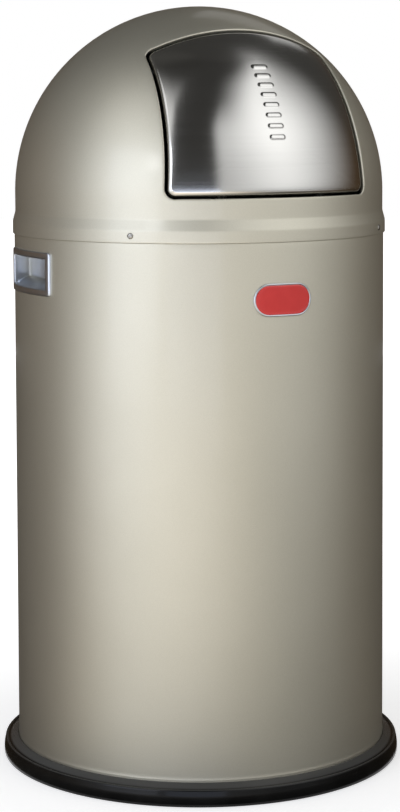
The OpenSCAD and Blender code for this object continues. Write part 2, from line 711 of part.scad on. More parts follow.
// Flap stops: two brackets reach down behind the dome's wall and carry rubber buffers
stop_w = 18;
stop_side_w = 36.9;
stop_x = opening_half_w - stop_side_w - stop_w;
stop_wall = 1.6;
stop_inset = 10.5;
stop_drop = 15;
stop_rise = 19;
stop_foot_h = 14;
stop_r = dome_r - stop_inset;
stop_low_z = dome_z - stop_drop;
stop_high_z = dome_z + stop_rise;
buffer_r = 4.5;
buffer_rise = 6;
buffer_z = stop_low_z + buffer_rise;
module stop_slab(low, high) {
  translate([stop_x, -far, low]) cube([stop_w, far, high - low]);
}
module flap_stop_brackets() {
  color([0.6, 0.6, 0.6]) left_and_right() {
    intersection() {
      ring(stop_r, stop_r - stop_wall, stop_low_z, stop_high_z);
      stop_slab(stop_low_z, stop_high_z);
    }
    difference() {
      intersection() {
        dome_ball(flap_in_r - flap_fit);
        stop_slab(stop_high_z - stop_wall, stop_high_z);
      }
      translate([0, 0, stop_low_z]) cylinder(r = stop_r - stop_wall, h = far);
    }
    dome_sheet(flap_in_r - flap_fit, stop_wall) stop_slab(stop_high_z - stop_wall, stop_high_z + stop_foot_h);
  }
}
module flap_buffers() {
  color([0.08, 0.08, 0.08]) left_and_right() intersection() {
    ring(dome_in_r - seat, stop_r, stop_low_z, stop_high_z);
    translate([stop_x + stop_w / 2, 0, buffer_z]) rotate([90, 0, 0]) cylinder(r = buffer_r, h = far);
  }
}

// Pail shell: a tapered tube with a rolled rim and a foot that stands on the floor pan
pail_foot_z = pan_top_z;
pail_roll_z = pail_rim_z - pail_roll_r;
pail_bottom_z = pail_foot_z + pail_bottom_rise;
function pail_wall_r(z) = pail_foot_r + pail_taper * (z - pail_foot_z) / (pail_roll_z - pail_foot_z);
ear_w = 26;
ear_wall = 2;
ear_drop = 26;
ear_low_z = pail_roll_z - ear_drop;
ear_out_r = pail_wall_r(ear_low_z) - pail_wall - lay;
rivet_r = 2;
rivet_head_r = 4;
rivet_head_h = 1.4;
rivet_drop = 9;
rivet_z = ear_low_z + rivet_drop;
rivet_edge = 6;
rivet_y = ear_w / 2 - rivet_edge;
rivet_seat = 0.5;
module rivet_holes() {
  for (y = [-1, 1]) translate([0, y * rivet_y, rivet_z]) rotate([0, 90, 0]) cylinder(r = rivet_r + lay, h = far);
}
module pail_shell() {
  color([0.68, 0.69, 0.7]) difference() {
    rotate_extrude() difference() {
      union() {
        polygon([[pail_foot_r - pail_wall, pail_foot_z], [pail_foot_r, pail_foot_z],
          [pail_top_r, pail_roll_z], [pail_top_r - pail_wall, pail_roll_z]]);
        translate([pail_roll_in, pail_roll_z]) circle(pail_roll_r);
      }
      translate([pail_roll_in, pail_roll_z]) circle(pail_roll_r - pail_wall);
      translate([pail_roll_in, pail_roll_z - pail_roll_r - over]) square([pail_roll_r + over, pail_roll_r + over]);
    }
    left_and_right() rivet_holes();
  }
}
bottom_flange_rise = 0.5;
module pail_bottom() {
  r = pail_foot_r - pail_wall - lay;
  color([0.66, 0.67, 0.68]) {
    translate([0, 0, pail_bottom_z]) cylinder(r = r, h = pail_wall);
    ring(r, r - pail_wall, pail_foot_z + bottom_flange_rise, pail_bottom_z + pail_wall);
  }
}

// Pail ears: curved plates inside the wall with a hole for the bail's end
ear_eye_r = 9;
bail_hole_r = bail_r + seat;
module pail_ear() {
  color([0.62, 0.62, 0.63]) difference() {
    intersection() {
      ring(ear_out_r, ear_out_r - ear_wall, ear_low_z, bail_z + ear_eye_r);
      through_right_wall(0) {
        translate([-ear_w / 2, ear_low_z]) square([ear_w, bail_z - ear_low_z - ear_eye_r / 2]);
        translate([0, bail_z]) circle(ear_eye_r);
      }
    }
    rivet_holes();
    translate([0, 0, bail_z]) rotate([0, 90, 0]) cylinder(r = bail_hole_r, h = far);
  }
}
module pail_ear_rivets() {
  head_in = ear_out_r - ear_wall - rivet_head_h;
  head_out = pail_wall_r(rivet_z) + lay;
  color([0.6, 0.6, 0.6]) left_and_right() for (y = [-1, 1]) translate([0, y * rivet_y, rivet_z]) {
    rotate([0, 90, 0]) translate([0, 0, head_in]) cylinder(r = rivet_r, h = head_out + rivet_head_h / 2 - head_in);
    rotate([0, 90, 0]) translate([0, 0, head_in - rivet_seat]) cylinder(r = rivet_head_r, h = rivet_head_h);
    rotate([0, 90, 0]) translate([0, 0, head_out - lay]) cylinder(r = rivet_head_r, h = rivet_head_h);
  }
}

// Bail: a wire hoop over the pail's rim whose ends turn inwards through the ears
bail_hoop_r = pail_roll_in;
bail_end_reach = 6;
bail_end_x = ear_out_r - ear_wall - bail_end_reach;
module pail_bail() {
  color([0.7, 0.7, 0.7]) translate([0, 0, bail_z]) {
    rotate_extrude(angle = 180) translate([bail_hoop_r, 0]) circle(bail_r);
    left_and_right() {
      translate([bail_hoop_r, 0, 0]) sphere(bail_r);
      translate([bail_end_x, 0, 0]) rotate([0, 90, 0]) cylinder(r = bail_r, h = bail_hoop_r - bail_end_x);
    }
  }
}
module pail_bail_grip() {
  sweep = bail_grip_len / bail_hoop_r * 180 / PI;
  color([0.1, 0.1, 0.1]) translate([0, 0, bail_z]) rotate([0, 0, 90 - sweep / 2])
    rotate_extrude(angle = sweep) translate([bail_hoop_r, 0]) difference() {
      circle(bail_grip_r);
      circle(bail_r + lay);
    }
}

base_ring();
floor_pan();
body_shell();
mirror([1, 0, 0]) grip();  // grip_left
grip();  // grip_right
mirror([1, 0, 0]) grip_retainer();  // grip_retainer_left
grip_retainer();  // grip_retainer_right
nameplate();
nameplate_enamel();
nameplate_fasteners();
lid_dome();
lid_tabs();
lid_screws();
lid_screw_nuts();
mirror([1, 0, 0]) hinge_bracket();  // hinge_bracket_left
hinge_bracket();  // hinge_bracket_right
hinge_rod();
rod_retainers();
flap_panel();
mirror([1, 0, 0]) flap_arm();  // flap_arm_left
flap_arm();  // flap_arm_right
hinge_tube();
mirror([1, 0, 0]) return_spring();  // spring_left
return_spring();  // spring_right
flap_stop_brackets();
flap_buffers();
pail_shell();
pail_bottom();
mirror([1, 0, 0]) pail_ear();  // pail_ear_left
pail_ear();  // pail_ear_right
pail_ear_rivets();
pail_bail();
pail_bail_grip();
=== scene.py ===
# Round push-flap waste bin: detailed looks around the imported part.
# Sizes of the object are in millimetres here and turn into metres as meshes are made.

import json
import math

import bmesh
import bpy
from mathutils import Matrix, Vector


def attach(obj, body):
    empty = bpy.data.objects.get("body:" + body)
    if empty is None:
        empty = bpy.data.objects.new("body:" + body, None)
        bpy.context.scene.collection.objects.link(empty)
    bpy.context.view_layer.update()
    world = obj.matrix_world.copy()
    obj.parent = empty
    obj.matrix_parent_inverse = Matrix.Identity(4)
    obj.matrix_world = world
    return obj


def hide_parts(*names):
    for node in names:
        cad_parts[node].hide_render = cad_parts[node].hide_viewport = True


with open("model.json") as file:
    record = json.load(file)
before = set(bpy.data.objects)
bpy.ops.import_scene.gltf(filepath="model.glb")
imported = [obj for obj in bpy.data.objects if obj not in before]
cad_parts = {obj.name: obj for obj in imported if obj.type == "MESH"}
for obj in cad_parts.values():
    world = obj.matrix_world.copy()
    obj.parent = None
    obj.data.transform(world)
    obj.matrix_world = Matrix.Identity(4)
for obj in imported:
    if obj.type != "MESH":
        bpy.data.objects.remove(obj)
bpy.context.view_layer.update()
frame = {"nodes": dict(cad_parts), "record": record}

MM = 0.001
UP = Vector((0, 0, 1))

# Sizes of the part, as in its CAD source
BODY_R = 185
BODY_WALL = 0.8
SEAM_Z = 526.5
RIM_ROLL_R = 2.7
FOOT_BEAD_OUT = 0.32
FOOT_BEAD_Z = 20.9
RING_R = 200
RING_BORE_R = 172
FOOT_Z = 8
LEDGE_Z = 16
DOME_R = 184
DOME_Z = 567
LID_WALL = 0.8
BAND_R = 186.6
BAND_TOP_Z = 540.5
STEP_TOP_Z = 545.5
CURL_R = 3.6
OPENING_MID = 30
OPENING_HALF_ANGLE = 29.5
OPENING_HALF_W = 99.9
OPENING_TAPER = 0.0756
OPENING_CORNER_R = 12
OPENING_EDGE_DEPTH = 7
FLAP_R = 183.2
FLAP_MARGIN = 3.1
FLAP_WALL = 0.9
FLAP_BEND_R = 2.6
FLAP_EDGE_DEPTH = 10
RIB_COUNT = 8
RIB_PITCH = 10.8
RIB_W = 15
RIB_H = 4
RIB_RISE = 0.9
GRIP_Z = 492.3
GRIP_W = 97
GRIP_H = 42
GRIP_BORDER = 6.5
GRIP_BACK_X = 166
GRIP_LIP_X = 175.5
GRIP_UNDERCUT = 4
GRIP_FLOOR_RISE = 7
GRIP_WALL = 1
PLATE_Z = 472.7
PLATE_W = 60
PLATE_H = 31
PLATE_BORDER = 1.8
SCREW_Z = 533.1
SCREW_R = 2.8
SCREW_H = 1.5
SHANK_R = 1.5
PAIL_RIM_Z = 473.5
PAIL_ROLL_R = 3.5
PAIL_ROLL_IN = 158.5
PAIL_WALL = 0.7
PAIL_TAPER = 6
PAIL_FOOT_Z = 23.2
BAIL_Z = 480.3
BAIL_R = 2.5
BAIL_END_X = 142.4
BAIL_GRIP_LEN = 96
BAIL_GRIP_R = 6.5
HINGE_Y = -76.2503
HINGE_Z = 684.4152


# Shader nodes; a socket's id_data is the node tree that it belongs to

def feed(socket, value):
    """Links another node's output to a socket, or sets the socket's own value."""
    if isinstance(value, bpy.types.NodeSocket):
        socket.id_data.links.new(value, socket)
    else:
        socket.default_value = value


def feed_all(node, inputs):
    for name, value in inputs.items():
        feed(node.inputs[name], value)


def add_node(tree, kind, output, inputs=None, **settings):
    """Adds a shader node with its settings and inputs, and gives one of its outputs."""
    node = tree.nodes.new("ShaderNode" + kind)
    for name, value in settings.items():
        setattr(node, name, value)
    feed_all(node, inputs or {})
    return node.outputs[output]


def maths(operation, *values):
    return add_node(values[0].id_data, "Math", "Value", dict(enumerate(values)), operation=operation)


def stretched(place, scale):
    return add_node(place.id_data, "Mapping", "Vector", {"Vector": place, "Scale": scale})


def along_axis(place, axis):
    return add_node(place.id_data, "SeparateXYZ", axis, {"Vector": place})


def noise(place, scale, detail=3, roughness=0.5):
    inputs = {"Vector": place, "Scale": scale, "Detail": detail, "Roughness": roughness}
    return add_node(place.id_data, "TexNoise", "Fac", inputs)


def cells(place, scale, output="Distance"):
    return add_node(place.id_data, "TexVoronoi", output, {"Vector": place, "Scale": scale})


def spread(value, low, high, source_low=0.3, source_high=0.7):
    """A value from one range carried to another."""
    source = {"From Min": source_low, "From Max": source_high}
    inputs = {"Value": value, **source, "To Min": low, "To Max": high}
    return add_node(value.id_data, "MapRange", "Result", inputs)


def mixed(factor, low_colour, high_colour):
    inputs = {"Factor": factor, "A": (*low_colour, 1), "B": (*high_colour, 1)}
    return add_node(factor.id_data, "Mix", "Result", inputs, data_type="RGBA")


def bump(height, strength, depth):
    inputs = {"Height": height, "Strength": strength, "Distance": depth}
    return add_node(height.id_data, "Bump", "Normal", inputs)


def node_of_type(tree, kind):
    return next(node for node in tree.nodes if node.type == kind)


# Materials: each function gives the inputs of a Principled shader, for a place on the object

COARSE_BUMP = 0.0003
FINE_BUMP = 0.0002


def champagne_paint(place):
    flake = cells(place, 2600, "Color")
    cloud = spread(noise(place, 9, 2), 0, 0.35)
    tone = maths("ADD", cloud, spread(flake, 0, 0.65, 0, 1))
    relief = maths("ADD", noise(place, 420, 2), spread(flake, 0, 0.5, 0, 1))
    return {
        "Base Color": mixed(tone, (0.605, 0.585, 0.49), (0.695, 0.673, 0.573)),
        "Roughness": spread(noise(place, 1900, 2), 0.5, 0.55),
        "Normal": bump(relief, 0.05, COARSE_BUMP),
        "Metallic": 0.92,
        "Specular Tint": (0.2, 0.13, 0.07, 1),
        "Coat Weight": 0.6,
        "Coat Roughness": 0.16,
    }


def brushed_stainless(place):
    lines = noise(stretched(place, (7, 7, 1700)), 1, 4, 0.65)
    cloud = spread(noise(place, 14, 2), 0, 0.2)
    tone = maths("ADD", spread(lines, 0, 0.8), cloud)
    return {
        "Base Color": mixed(tone, (0.60, 0.595, 0.575), (0.65, 0.645, 0.625)),
        "Roughness": spread(lines, 0.14, 0.19),
        "Normal": bump(lines, 0.02, FINE_BUMP),
        "Metallic": 1,
        "Anisotropic": 0.55,
        "Anisotropic Rotation": 0.25,
        "Tangent": add_node(place.id_data, "Tangent", "Tangent", direction_type="RADIAL", axis="Z"),
    }


def satin_chrome(place):
    """Painted shade: darker and warmer at the back of the grips' finger cups, deep inside the grip; the
    nameplate's border in front takes the full cool tone.
    """
    side = maths("ABSOLUTE", along_axis(place, "X"))
    # painted shade: the back of each finger cup, deep in the grip, is made darker and browner
    depth = spread(side, -0.42, 0, 0.168, 0.176)
    front = spread(along_axis(place, "Y"), 0.3, 0, -0.15, -0.1)
    cloud = spread(noise(place, 60, 3), 0.9, 1.0)
    tone = maths("ADD", cloud, maths("ADD", depth, front))
    return {
        "Base Color": mixed(tone, (0.26, 0.21, 0.06), (0.68, 0.73, 0.82)),
        "Roughness": spread(noise(place, 900, 3), 0.3, 0.36),
        "Normal": bump(noise(place, 1500, 2), 0.015, FINE_BUMP),
        "Metallic": 1,
    }


def red_enamel(place):
    return {
        "Base Color": mixed(noise(place, 90, 3), (0.80, 0.028, 0.024), (0.90, 0.042, 0.036)),
        "Roughness": spread(noise(place, 500, 2), 0.16, 0.24),
        "Normal": bump(noise(place, 260, 2), 0.05, COARSE_BUMP),
        "Coat Weight": 0.6,
        "Coat Roughness": 0.06,
    }


def black_rubber(place):
    """Painted reflection: the base ring's slope above its ridge is made lighter, standing in for the
    body mirrored there; a faint random dust tone lies all over.
    """
    dust = noise(place, 22, 4, 0.6)
    # painted reflection: lighter tone on the ring's upper slope, above its ridge
    painted_slope_sheen = spread(along_axis(place, "Z"), 0, 0.9, 0.0152, 0.0164)
    tone = maths("ADD", spread(dust, 0, 0.06), painted_slope_sheen)
    return {
        "Base Color": mixed(tone, (0.003, 0.003, 0.003), (0.085, 0.084, 0.079)),
        "Roughness": spread(dust, 0.18, 0.28),
        "Normal": bump(cells(place, 900), 0.08, COARSE_BUMP),
        "Specular IOR Level": 0.17,
        "Coat Weight": 0.15,
        "Coat Roughness": 0.08,
    }


def galvanised_steel(place):
    spangle = cells(place, 110, "Color")
    cloud = spread(noise(place, 35, 3), 0, 0.3)
    tone = maths("ADD", spread(spangle, 0, 0.7, 0, 1), cloud)
    return {
        "Base Color": mixed(tone, (0.49, 0.50, 0.52), (0.61, 0.62, 0.64)),
        "Roughness": spread(spangle, 0.35, 0.45, 0, 1),
        "Normal": bump(noise(place, 700, 3), 0.08, COARSE_BUMP),
        "Metallic": 1,
    }


def bright_steel(place):
    lines = noise(stretched(place, (900, 60, 60)), 1, 3, 0.6)
    return {
        "Base Color": mixed(lines, (0.55, 0.55, 0.55), (0.70, 0.70, 0.70)),
        "Roughness": spread(lines, 0.2, 0.34),
        "Normal": bump(lines, 0.06, FINE_BUMP),
        "Metallic": 1,
    }


def zinc_fastener(place):
    return {
        "Base Color": mixed(noise(place, 180, 3), (0.30, 0.293, 0.27), (0.42, 0.412, 0.385)),
        "Roughness": spread(noise(place, 1300, 2), 0.22, 0.38),
        "Normal": bump(noise(place, 2200, 2), 0.08, FINE_BUMP),
        "Metallic": 1,
    }


def dark_spring_steel(place):
    return {
        "Base Color": mixed(noise(place, 240, 3), (0.10, 0.10, 0.11), (0.20, 0.19, 0.18)),
        "Roughness": spread(noise(place, 900, 2), 0.25, 0.42),
        "Normal": bump(noise(place, 1600, 2), 0.08, FINE_BUMP),
        "Metallic": 1,
    }


def black_plastic(place):
    return {
        "Base Color": mixed(noise(place, 70, 3), (0.014, 0.014, 0.015), (0.03, 0.03, 0.031)),
        "Roughness": spread(noise(place, 400, 2), 0.42, 0.56),
        "Normal": bump(cells(place, 1500), 0.2, COARSE_BUMP),
    }


def new_material(name):
    material = bpy.data.materials.new(name)
    material.use_nodes = True
    return material, material.node_tree


def make_material(build):
    material, tree = new_material(build.__name__)
    feed_all(node_of_type(tree, "BSDF_PRINCIPLED"), build(add_node(tree, "TexCoord", "Object")))
    return material


MATERIALS = {build.__name__: make_material(build) for build in (
    champagne_paint, brushed_stainless, satin_chrome, red_enamel, black_rubber, galvanised_steel,
    bright_steel, zinc_fastener, dark_spring_steel, black_plastic)}


# Mesh helpers

CREASE_ANGLE = 38


def add_to_scene(obj):
    bpy.context.scene.collection.objects.link(obj)


def new_object(name, points, faces):
    """An object from points in millimetres."""
    mesh = bpy.data.meshes.new(name)
    mesh.from_pydata([Vector(p) * MM for p in points], [], faces)
    mesh.validate()
    obj = bpy.data.objects.new(name, mesh)
    add_to_scene(obj)
    return obj


def smooth_with_creases(mesh):
    """Shades the mesh smooth apart from its sharp edges."""
    work = bmesh.new()
    work.from_mesh(mesh)
    for face in work.faces:
        face.smooth = True
    for edge in work.edges:
        edge.smooth = len(edge.link_faces) == 2 and edge.calc_face_angle(0) < math.radians(CREASE_ANGLE)
    work.to_mesh(mesh)
    work.free()


def thicken(obj, wall):
    """Gives an open sheet its wall, away from the side that its faces look to."""
    solid = obj.modifiers.new("wall", "SOLIDIFY")
    solid.thickness = wall * MM
    solid.offset = -1
    solid.use_even_offset = True
    graph = bpy.context.evaluated_depsgraph_get()
    mesh = bpy.data.meshes.new_from_object(obj.evaluated_get(graph))
    obj.modifiers.clear()
    obj.data = mesh


def closed_sheet(name, front, back, faces):
    """A solid from a sheet's front, the same faces on its back and a strip along each free edge."""
    count = len(front)
    edges = {edge: True for face in faces for edge in zip(face, face[1:] + face[:1])}
    solid = faces + [tuple(i + count for i in reversed(face)) for face in faces]
    solid += [(b, a, a + count, b + count) for a, b in edges if (b, a) not in edges]
    return new_object(name, front + back, solid)


def closed_object(name, points, faces):
    """An object whose closed mesh has all its faces turned outwards."""
    obj = new_object(name, points, faces)
    work = bmesh.new()
    work.from_mesh(obj.data)
    bmesh.ops.recalc_face_normals(work, faces=work.faces)
    work.to_mesh(obj.data)
    work.free()
    return obj


def dress(obj, body, slot, *nodes):
    """Shades a finished piece, sets it on its body and lets it stand for CAD nodes."""
    smooth_with_creases(obj.data)
    obj.data.materials.append(MATERIALS[slot])
    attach(obj, body)
    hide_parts(*nodes)


def grid_faces(rows, columns, wrap_columns=True, wrap_rows=False, flip=False):
    """Quads of a grid whose points are stored row by row."""
    faces = []
    for i in range(rows if wrap_rows else rows - 1):
        here, there = i * columns, (i + 1) % rows * columns
        for j in range(columns if wrap_columns else columns - 1):
            k = (j + 1) % columns
            a, b, c, d = here + j, here + k, there + k, there + j
            faces.append((a, d, c, b) if flip else (a, b, c, d))
    return faces


def arc(x, y, r, start, end, steps):
    """Points on an arc about (x, y), angles in degrees."""
    turns = [math.radians(start + (end - start) * i / steps) for i in range(steps + 1)]
    return [(x + r * math.cos(a), y + r * math.sin(a)) for a in turns]


def heights(low, high, steps):
    return [low + (high - low) * i / steps for i in range(steps + 1)]


def joined(rows):
    return [place for row in rows for place in row]


def polar(r, a, z=0):
    """A place by its distance from the Z axis, its angle in radians and its height."""
    return Vector((r * math.cos(a), r * math.sin(a), z))


def turned(profile, count):
    """Rows of points: a profile of (radius, height) turned about Z."""
    return [polar(r, 2 * math.pi * j / count, z) for r, z in profile for j in range(count)]


def add_loops(points, faces, ring, loops, flip=False):
    """Joins loops of points, one after the other, to a ring of point numbers; gives the last ring."""
    for loop in loops:
        following = range(len(points), len(points) + len(loop))
        points += loop
        for a, b, c, d in zip(ring, following, [*following[1:], following[0]], [*ring[1:], ring[0]]):
            faces.append((a, d, c, b) if flip else (a, b, c, d))
        ring = following
    return ring


def tube(name, path, radius, sides):
    """A closed wire of round section along a path of points."""
    points = []
    path = [Vector(p) for p in path]
    normal = (path[1] - path[0]).normalized().orthogonal().normalized()
    for i, point in enumerate(path):
        along = (path[min(i + 1, len(path) - 1)] - path[max(i - 1, 0)]).normalized()
        normal = (normal - along * normal.dot(along)).normalized()
        across = along.cross(normal)
        for j in range(sides):
            a = 2 * math.pi * j / sides
            points.append(point + radius * (math.cos(a) * normal + math.sin(a) * across))
    faces = grid_faces(len(path), sides)
    faces.append(tuple(range(sides)))
    faces.append(tuple(len(points) - 1 - j for j in range(sides)))
    return closed_object(name, points, faces)


# Base ring

RING_COLUMNS = 240
RING_EDGE_R = 1.6
RING_SIDE = [(RING_R, 5), (199.85, 8), (199.45, 11), (198.8, 13.6)]
RING_RIDGE = (197, 14.4, 1.7)
RING_SLOPE = [(195.5, 15.3), (195, 15.1), (194.4, 15.3), (193, 16.2), (191.2, 17.2), (189.4, 18.2),
              (187.9, 19), (186.9, 19.45)]
RING_TOP_EDGE = (186.2, 19.2, 0.4)
GROOVE_GAP = 0.3


def make_base_ring():
    groove_in = BODY_R - BODY_WALL - GROOVE_GAP
    groove_out = BODY_R + GROOVE_GAP
    flat_r = RING_R - RING_EDGE_R
    profile = [(RING_BORE_R, 0.6), (RING_BORE_R + 0.6, 0), (flat_r, 0)]
    profile += arc(flat_r, RING_EDGE_R, RING_EDGE_R, -80, 0, 5)
    profile += RING_SIDE + arc(*RING_RIDGE, 12, 128, 12)
    profile += RING_SLOPE + arc(*RING_TOP_EDGE, 70, 160, 5)
    profile += [(groove_out, 18.8), (groove_out, FOOT_Z), (groove_in, FOOT_Z)]
    profile += [(groove_in, LEDGE_Z - 0.4), (groove_in - 0.4, LEDGE_Z)]
    profile += [(RING_BORE_R + 0.5, LEDGE_Z), (RING_BORE_R, LEDGE_Z - 0.5)]
    faces = grid_faces(len(profile), RING_COLUMNS, wrap_rows=True)
    ring = closed_object("rubber_base_ring", turned(profile, RING_COLUMNS), faces)
    dress(ring, "base", "black_rubber", "base_ring")


# Body shell, with a window behind each grip

BODY_COLUMNS = 240
WINDOW_HALF_COLUMNS = 9
WINDOW_ROOM = 1.3
WINDOW_LOW = GRIP_Z - GRIP_H / 2 + GRIP_BORDER - WINDOW_ROOM
WINDOW_HIGH = GRIP_Z + GRIP_H / 2 - GRIP_BORDER + WINDOW_ROOM
SEAM_GAP = 0.15
MOUTH_EDGE_R = 0.3
MOUTH_LIP = 2.3
FOLD_R = 0.05
EDGE_STEPS = 6


def body_profiles():
    """(radius, height) pairs, front and back, from the foot to the lip inside the mouth."""
    edge_z = SEAM_Z - SEAM_GAP - MOUTH_EDGE_R
    fold_z = edge_z + MOUTH_EDGE_R - BODY_WALL - FOLD_R
    lip_r = BODY_R - 2 * RIM_ROLL_R
    lip_z = edge_z - MOUTH_LIP
    bead_high = FOOT_BEAD_Z + 2.2
    profile = [(BODY_R, FOOT_Z), (BODY_R, FOOT_BEAD_Z - 2), (BODY_R, FOOT_BEAD_Z - FOOT_BEAD_OUT)]
    profile += arc(BODY_R, FOOT_BEAD_Z, FOOT_BEAD_OUT, -75, 0, 4)
    profile += [(BODY_R + FOOT_BEAD_OUT * 0.5, FOOT_BEAD_Z + 1), (BODY_R, bead_high)]
    side = heights(bead_high + 2, WINDOW_LOW, 22) + heights(WINDOW_LOW, WINDOW_HIGH, 4)[1:]
    side += heights(WINDOW_HIGH, edge_z, 3)[1:-1]
    profile += [(BODY_R, z) for z in side]
    back = [(BODY_R - BODY_WALL, z) for _, z in profile]
    profile += arc(BODY_R - MOUTH_EDGE_R, edge_z, MOUTH_EDGE_R, 0, 90, EDGE_STEPS)
    profile += arc(lip_r + MOUTH_EDGE_R, edge_z, MOUTH_EDGE_R, 90, 180, EDGE_STEPS)
    profile += [(lip_r, lip_z)]
    back += arc(BODY_R - BODY_WALL - FOLD_R, fold_z, FOLD_R, 0, 90, EDGE_STEPS)
    back += arc(lip_r + BODY_WALL + FOLD_R, fold_z, FOLD_R, 90, 180, EDGE_STEPS)
    back += [(lip_r + BODY_WALL, lip_z)]
    return profile, back


def in_window(place):
    angle = math.degrees(math.atan2(abs(place.y), abs(place.x)))
    return WINDOW_LOW < place.z < WINDOW_HIGH and angle < WINDOW_HALF_COLUMNS * 360 / BODY_COLUMNS


def make_body():
    profile, back = body_profiles()
    points = turned(profile, BODY_COLUMNS)
    faces = []
    for face in grid_faces(len(profile), BODY_COLUMNS):
        middle = sum((Vector(points[i]) for i in face), Vector()) / 4
        if not in_window(middle):
            faces.append(face)
    body = closed_sheet("painted_body", points, turned(back, BODY_COLUMNS), faces)
    dress(body, "base", "champagne_paint", "body_shell")


# Outline of the flap's opening, in the frame that looks along the flap's middle axis

OPENING_SINE = math.sin(math.radians(OPENING_HALF_ANGLE))
LEAST_CORNER_R = 2
CORNER_ROUNDS = 8


def rim_v(u, inset):
    return OPENING_SINE * math.sqrt(DOME_R ** 2 - u * u) - inset


def side_u(v, inset):
    return OPENING_HALF_W - OPENING_TAPER * v - inset


def corner_place(top, inset):
    """Where the side edge meets the upper or lower edge, closer with each round."""
    u = OPENING_HALF_W
    for _ in range(CORNER_ROUNDS):
        u = side_u(top * rim_v(u, inset), inset)
    return Vector((u, top * rim_v(u, inset)))


def corner_curve(top, inset, steps):
    """Rounded corner on the right, from the side edge to the upper or lower edge."""
    r = max(OPENING_CORNER_R - inset, LEAST_CORNER_R)
    p = corner_place(top, inset)
    slope = OPENING_SINE * p.x / math.sqrt(DOME_R ** 2 - p.x ** 2)
    along_rim = Vector((-1, top * slope)).normalized()
    along_side = Vector((top * OPENING_TAPER, -top)).normalized()
    half = math.acos(along_rim.dot(along_side)) / 2
    centre = p + (along_rim + along_side).normalized() * r / math.sin(half)
    begin = p + along_side * r / math.tan(half) - centre
    start = math.degrees(math.atan2(begin.y, begin.x))
    turn = top * (180 - 2 * math.degrees(half))
    return arc(centre.x, centre.y, r, start, start + turn, steps)


def rim_curve(top, inset, from_u, steps):
    us = [from_u * (1 - 2 * i / steps) for i in range(1, steps)]
    return [(u, top * rim_v(u, inset)) for u in us]


def between(a, b, share):
    return a[0] + (b[0] - a[0]) * share, a[1] + (b[1] - a[1]) * share


def line_between(a, b, steps):
    return [between(a, b, i / steps) for i in range(1, steps)]


def opening_outline(inset, corner_steps, rim_steps, side_steps):
    """Closed loop, counterclockwise, from the foot of the upper right corner."""
    upper = corner_curve(1, inset, corner_steps)
    lower = corner_curve(-1, inset, corner_steps)
    top_left = [(-u, v) for u, v in reversed(upper)]
    low_left = [(-u, v) for u, v in lower]
    loop = upper + rim_curve(1, inset, upper[-1][0], rim_steps) + top_left
    loop += line_between(top_left[-1], low_left[0], side_steps) + low_left
    loop += rim_curve(-1, inset, lower[-1][0], rim_steps)[::-1] + lower[::-1]
    return loop + line_between(lower[0], upper[0], side_steps)


MID = math.radians(OPENING_MID)
FLAP_AXIS = Vector((0, -math.cos(MID), math.sin(MID)))
FLAP_UP = Vector((0, math.sin(MID), math.cos(MID)))
FLAP_SIDE = Vector((1, 0, 0))
DOME_CENTRE = UP * DOME_Z


def on_ball(u, v, r, drop=0):
    """Point of a ball about the dome's centre, let down along the flap's axis."""
    depth = math.sqrt(r * r - u * u - v * v) - drop
    return DOME_CENTRE + FLAP_SIDE * u + FLAP_UP * v + FLAP_AXIS * depth


# Lid: dome, rolled edge round the opening, skirt, step, band and curl

LID_CORNER_STEPS = 10
LID_RIM_STEPS = 30
LID_SIDE_STEPS = 44
LID_DOME_ROWS = 46
LID_BEND_R = 2.2
LID_BEND_STEPS = 5
LID_EDGE_DROPS = (OPENING_EDGE_DEPTH, 4.6, LID_BEND_R)
LID_EDGE_R = 0.35
SKIRT_TOP_Z = DOME_Z - 5
STEP_BEGIN_Z = STEP_TOP_Z + 3.6
STEP_END_Z = BAND_TOP_Z - 3.4
STEP_ROWS = 18
STEP_BEND = 0.16


def lid_outline(inset):
    return opening_outline(inset, LID_CORNER_STEPS, LID_RIM_STEPS, LID_SIDE_STEPS)


def lid_loop(inset, drop):
    return [on_ball(u, v, DOME_R, drop) for u, v in lid_outline(inset)]


def edge_back(drop):
    """Places behind the opening's straight edge, a wall's thickness further out."""
    pairs = zip(lid_loop(0, drop), lid_outline(0), lid_outline(-LID_WALL))
    return [p + FLAP_SIDE * (b[0] - a[0]) + FLAP_UP * (b[1] - a[1]) for p, a, b in pairs]


def dome_back(point):
    """The place on the dome's inner face behind a point of its outer face."""
    out = point - DOME_CENTRE
    if out.z < 0:
        out.z = 0
    return point - out.normalized() * LID_WALL


def dome_column(start):
    """Points from the opening's edge along a great circle, down to below the equator."""
    from_centre = (start - DOME_CENTRE).normalized()
    across = (from_centre - FLAP_AXIS * from_centre.dot(FLAP_AXIS)).normalized()
    begin = math.acos(from_centre.dot(FLAP_AXIS))
    reach = math.atan2(FLAP_AXIS.z, -across.z)
    if reach < 0:
        reach += math.pi
    slope = -FLAP_AXIS.z * math.sin(reach) + across.z * math.cos(reach)
    end = reach + (SKIRT_TOP_Z - DOME_Z) / (DOME_R * slope)
    column = []
    for i in range(1, LID_DOME_ROWS + 1):
        angle = begin + (end - begin) * i / LID_DOME_ROWS
        point = (FLAP_AXIS * math.cos(angle) + across * math.sin(angle)) * DOME_R
        if point.z < 0:
            point = Vector((*(point.to_2d().normalized() * DOME_R), point.z))
        column.append(DOME_CENTRE + point)
    return column


def ramp(share, bend):
    """Rises from 0 to 1 on a straight slope with a soft bend at either end."""
    if share > 0.5:
        return 1 - ramp(1 - share, bend)
    begin = share * share / (2 * bend) if share < bend else share - bend / 2
    return begin / (1 - bend)


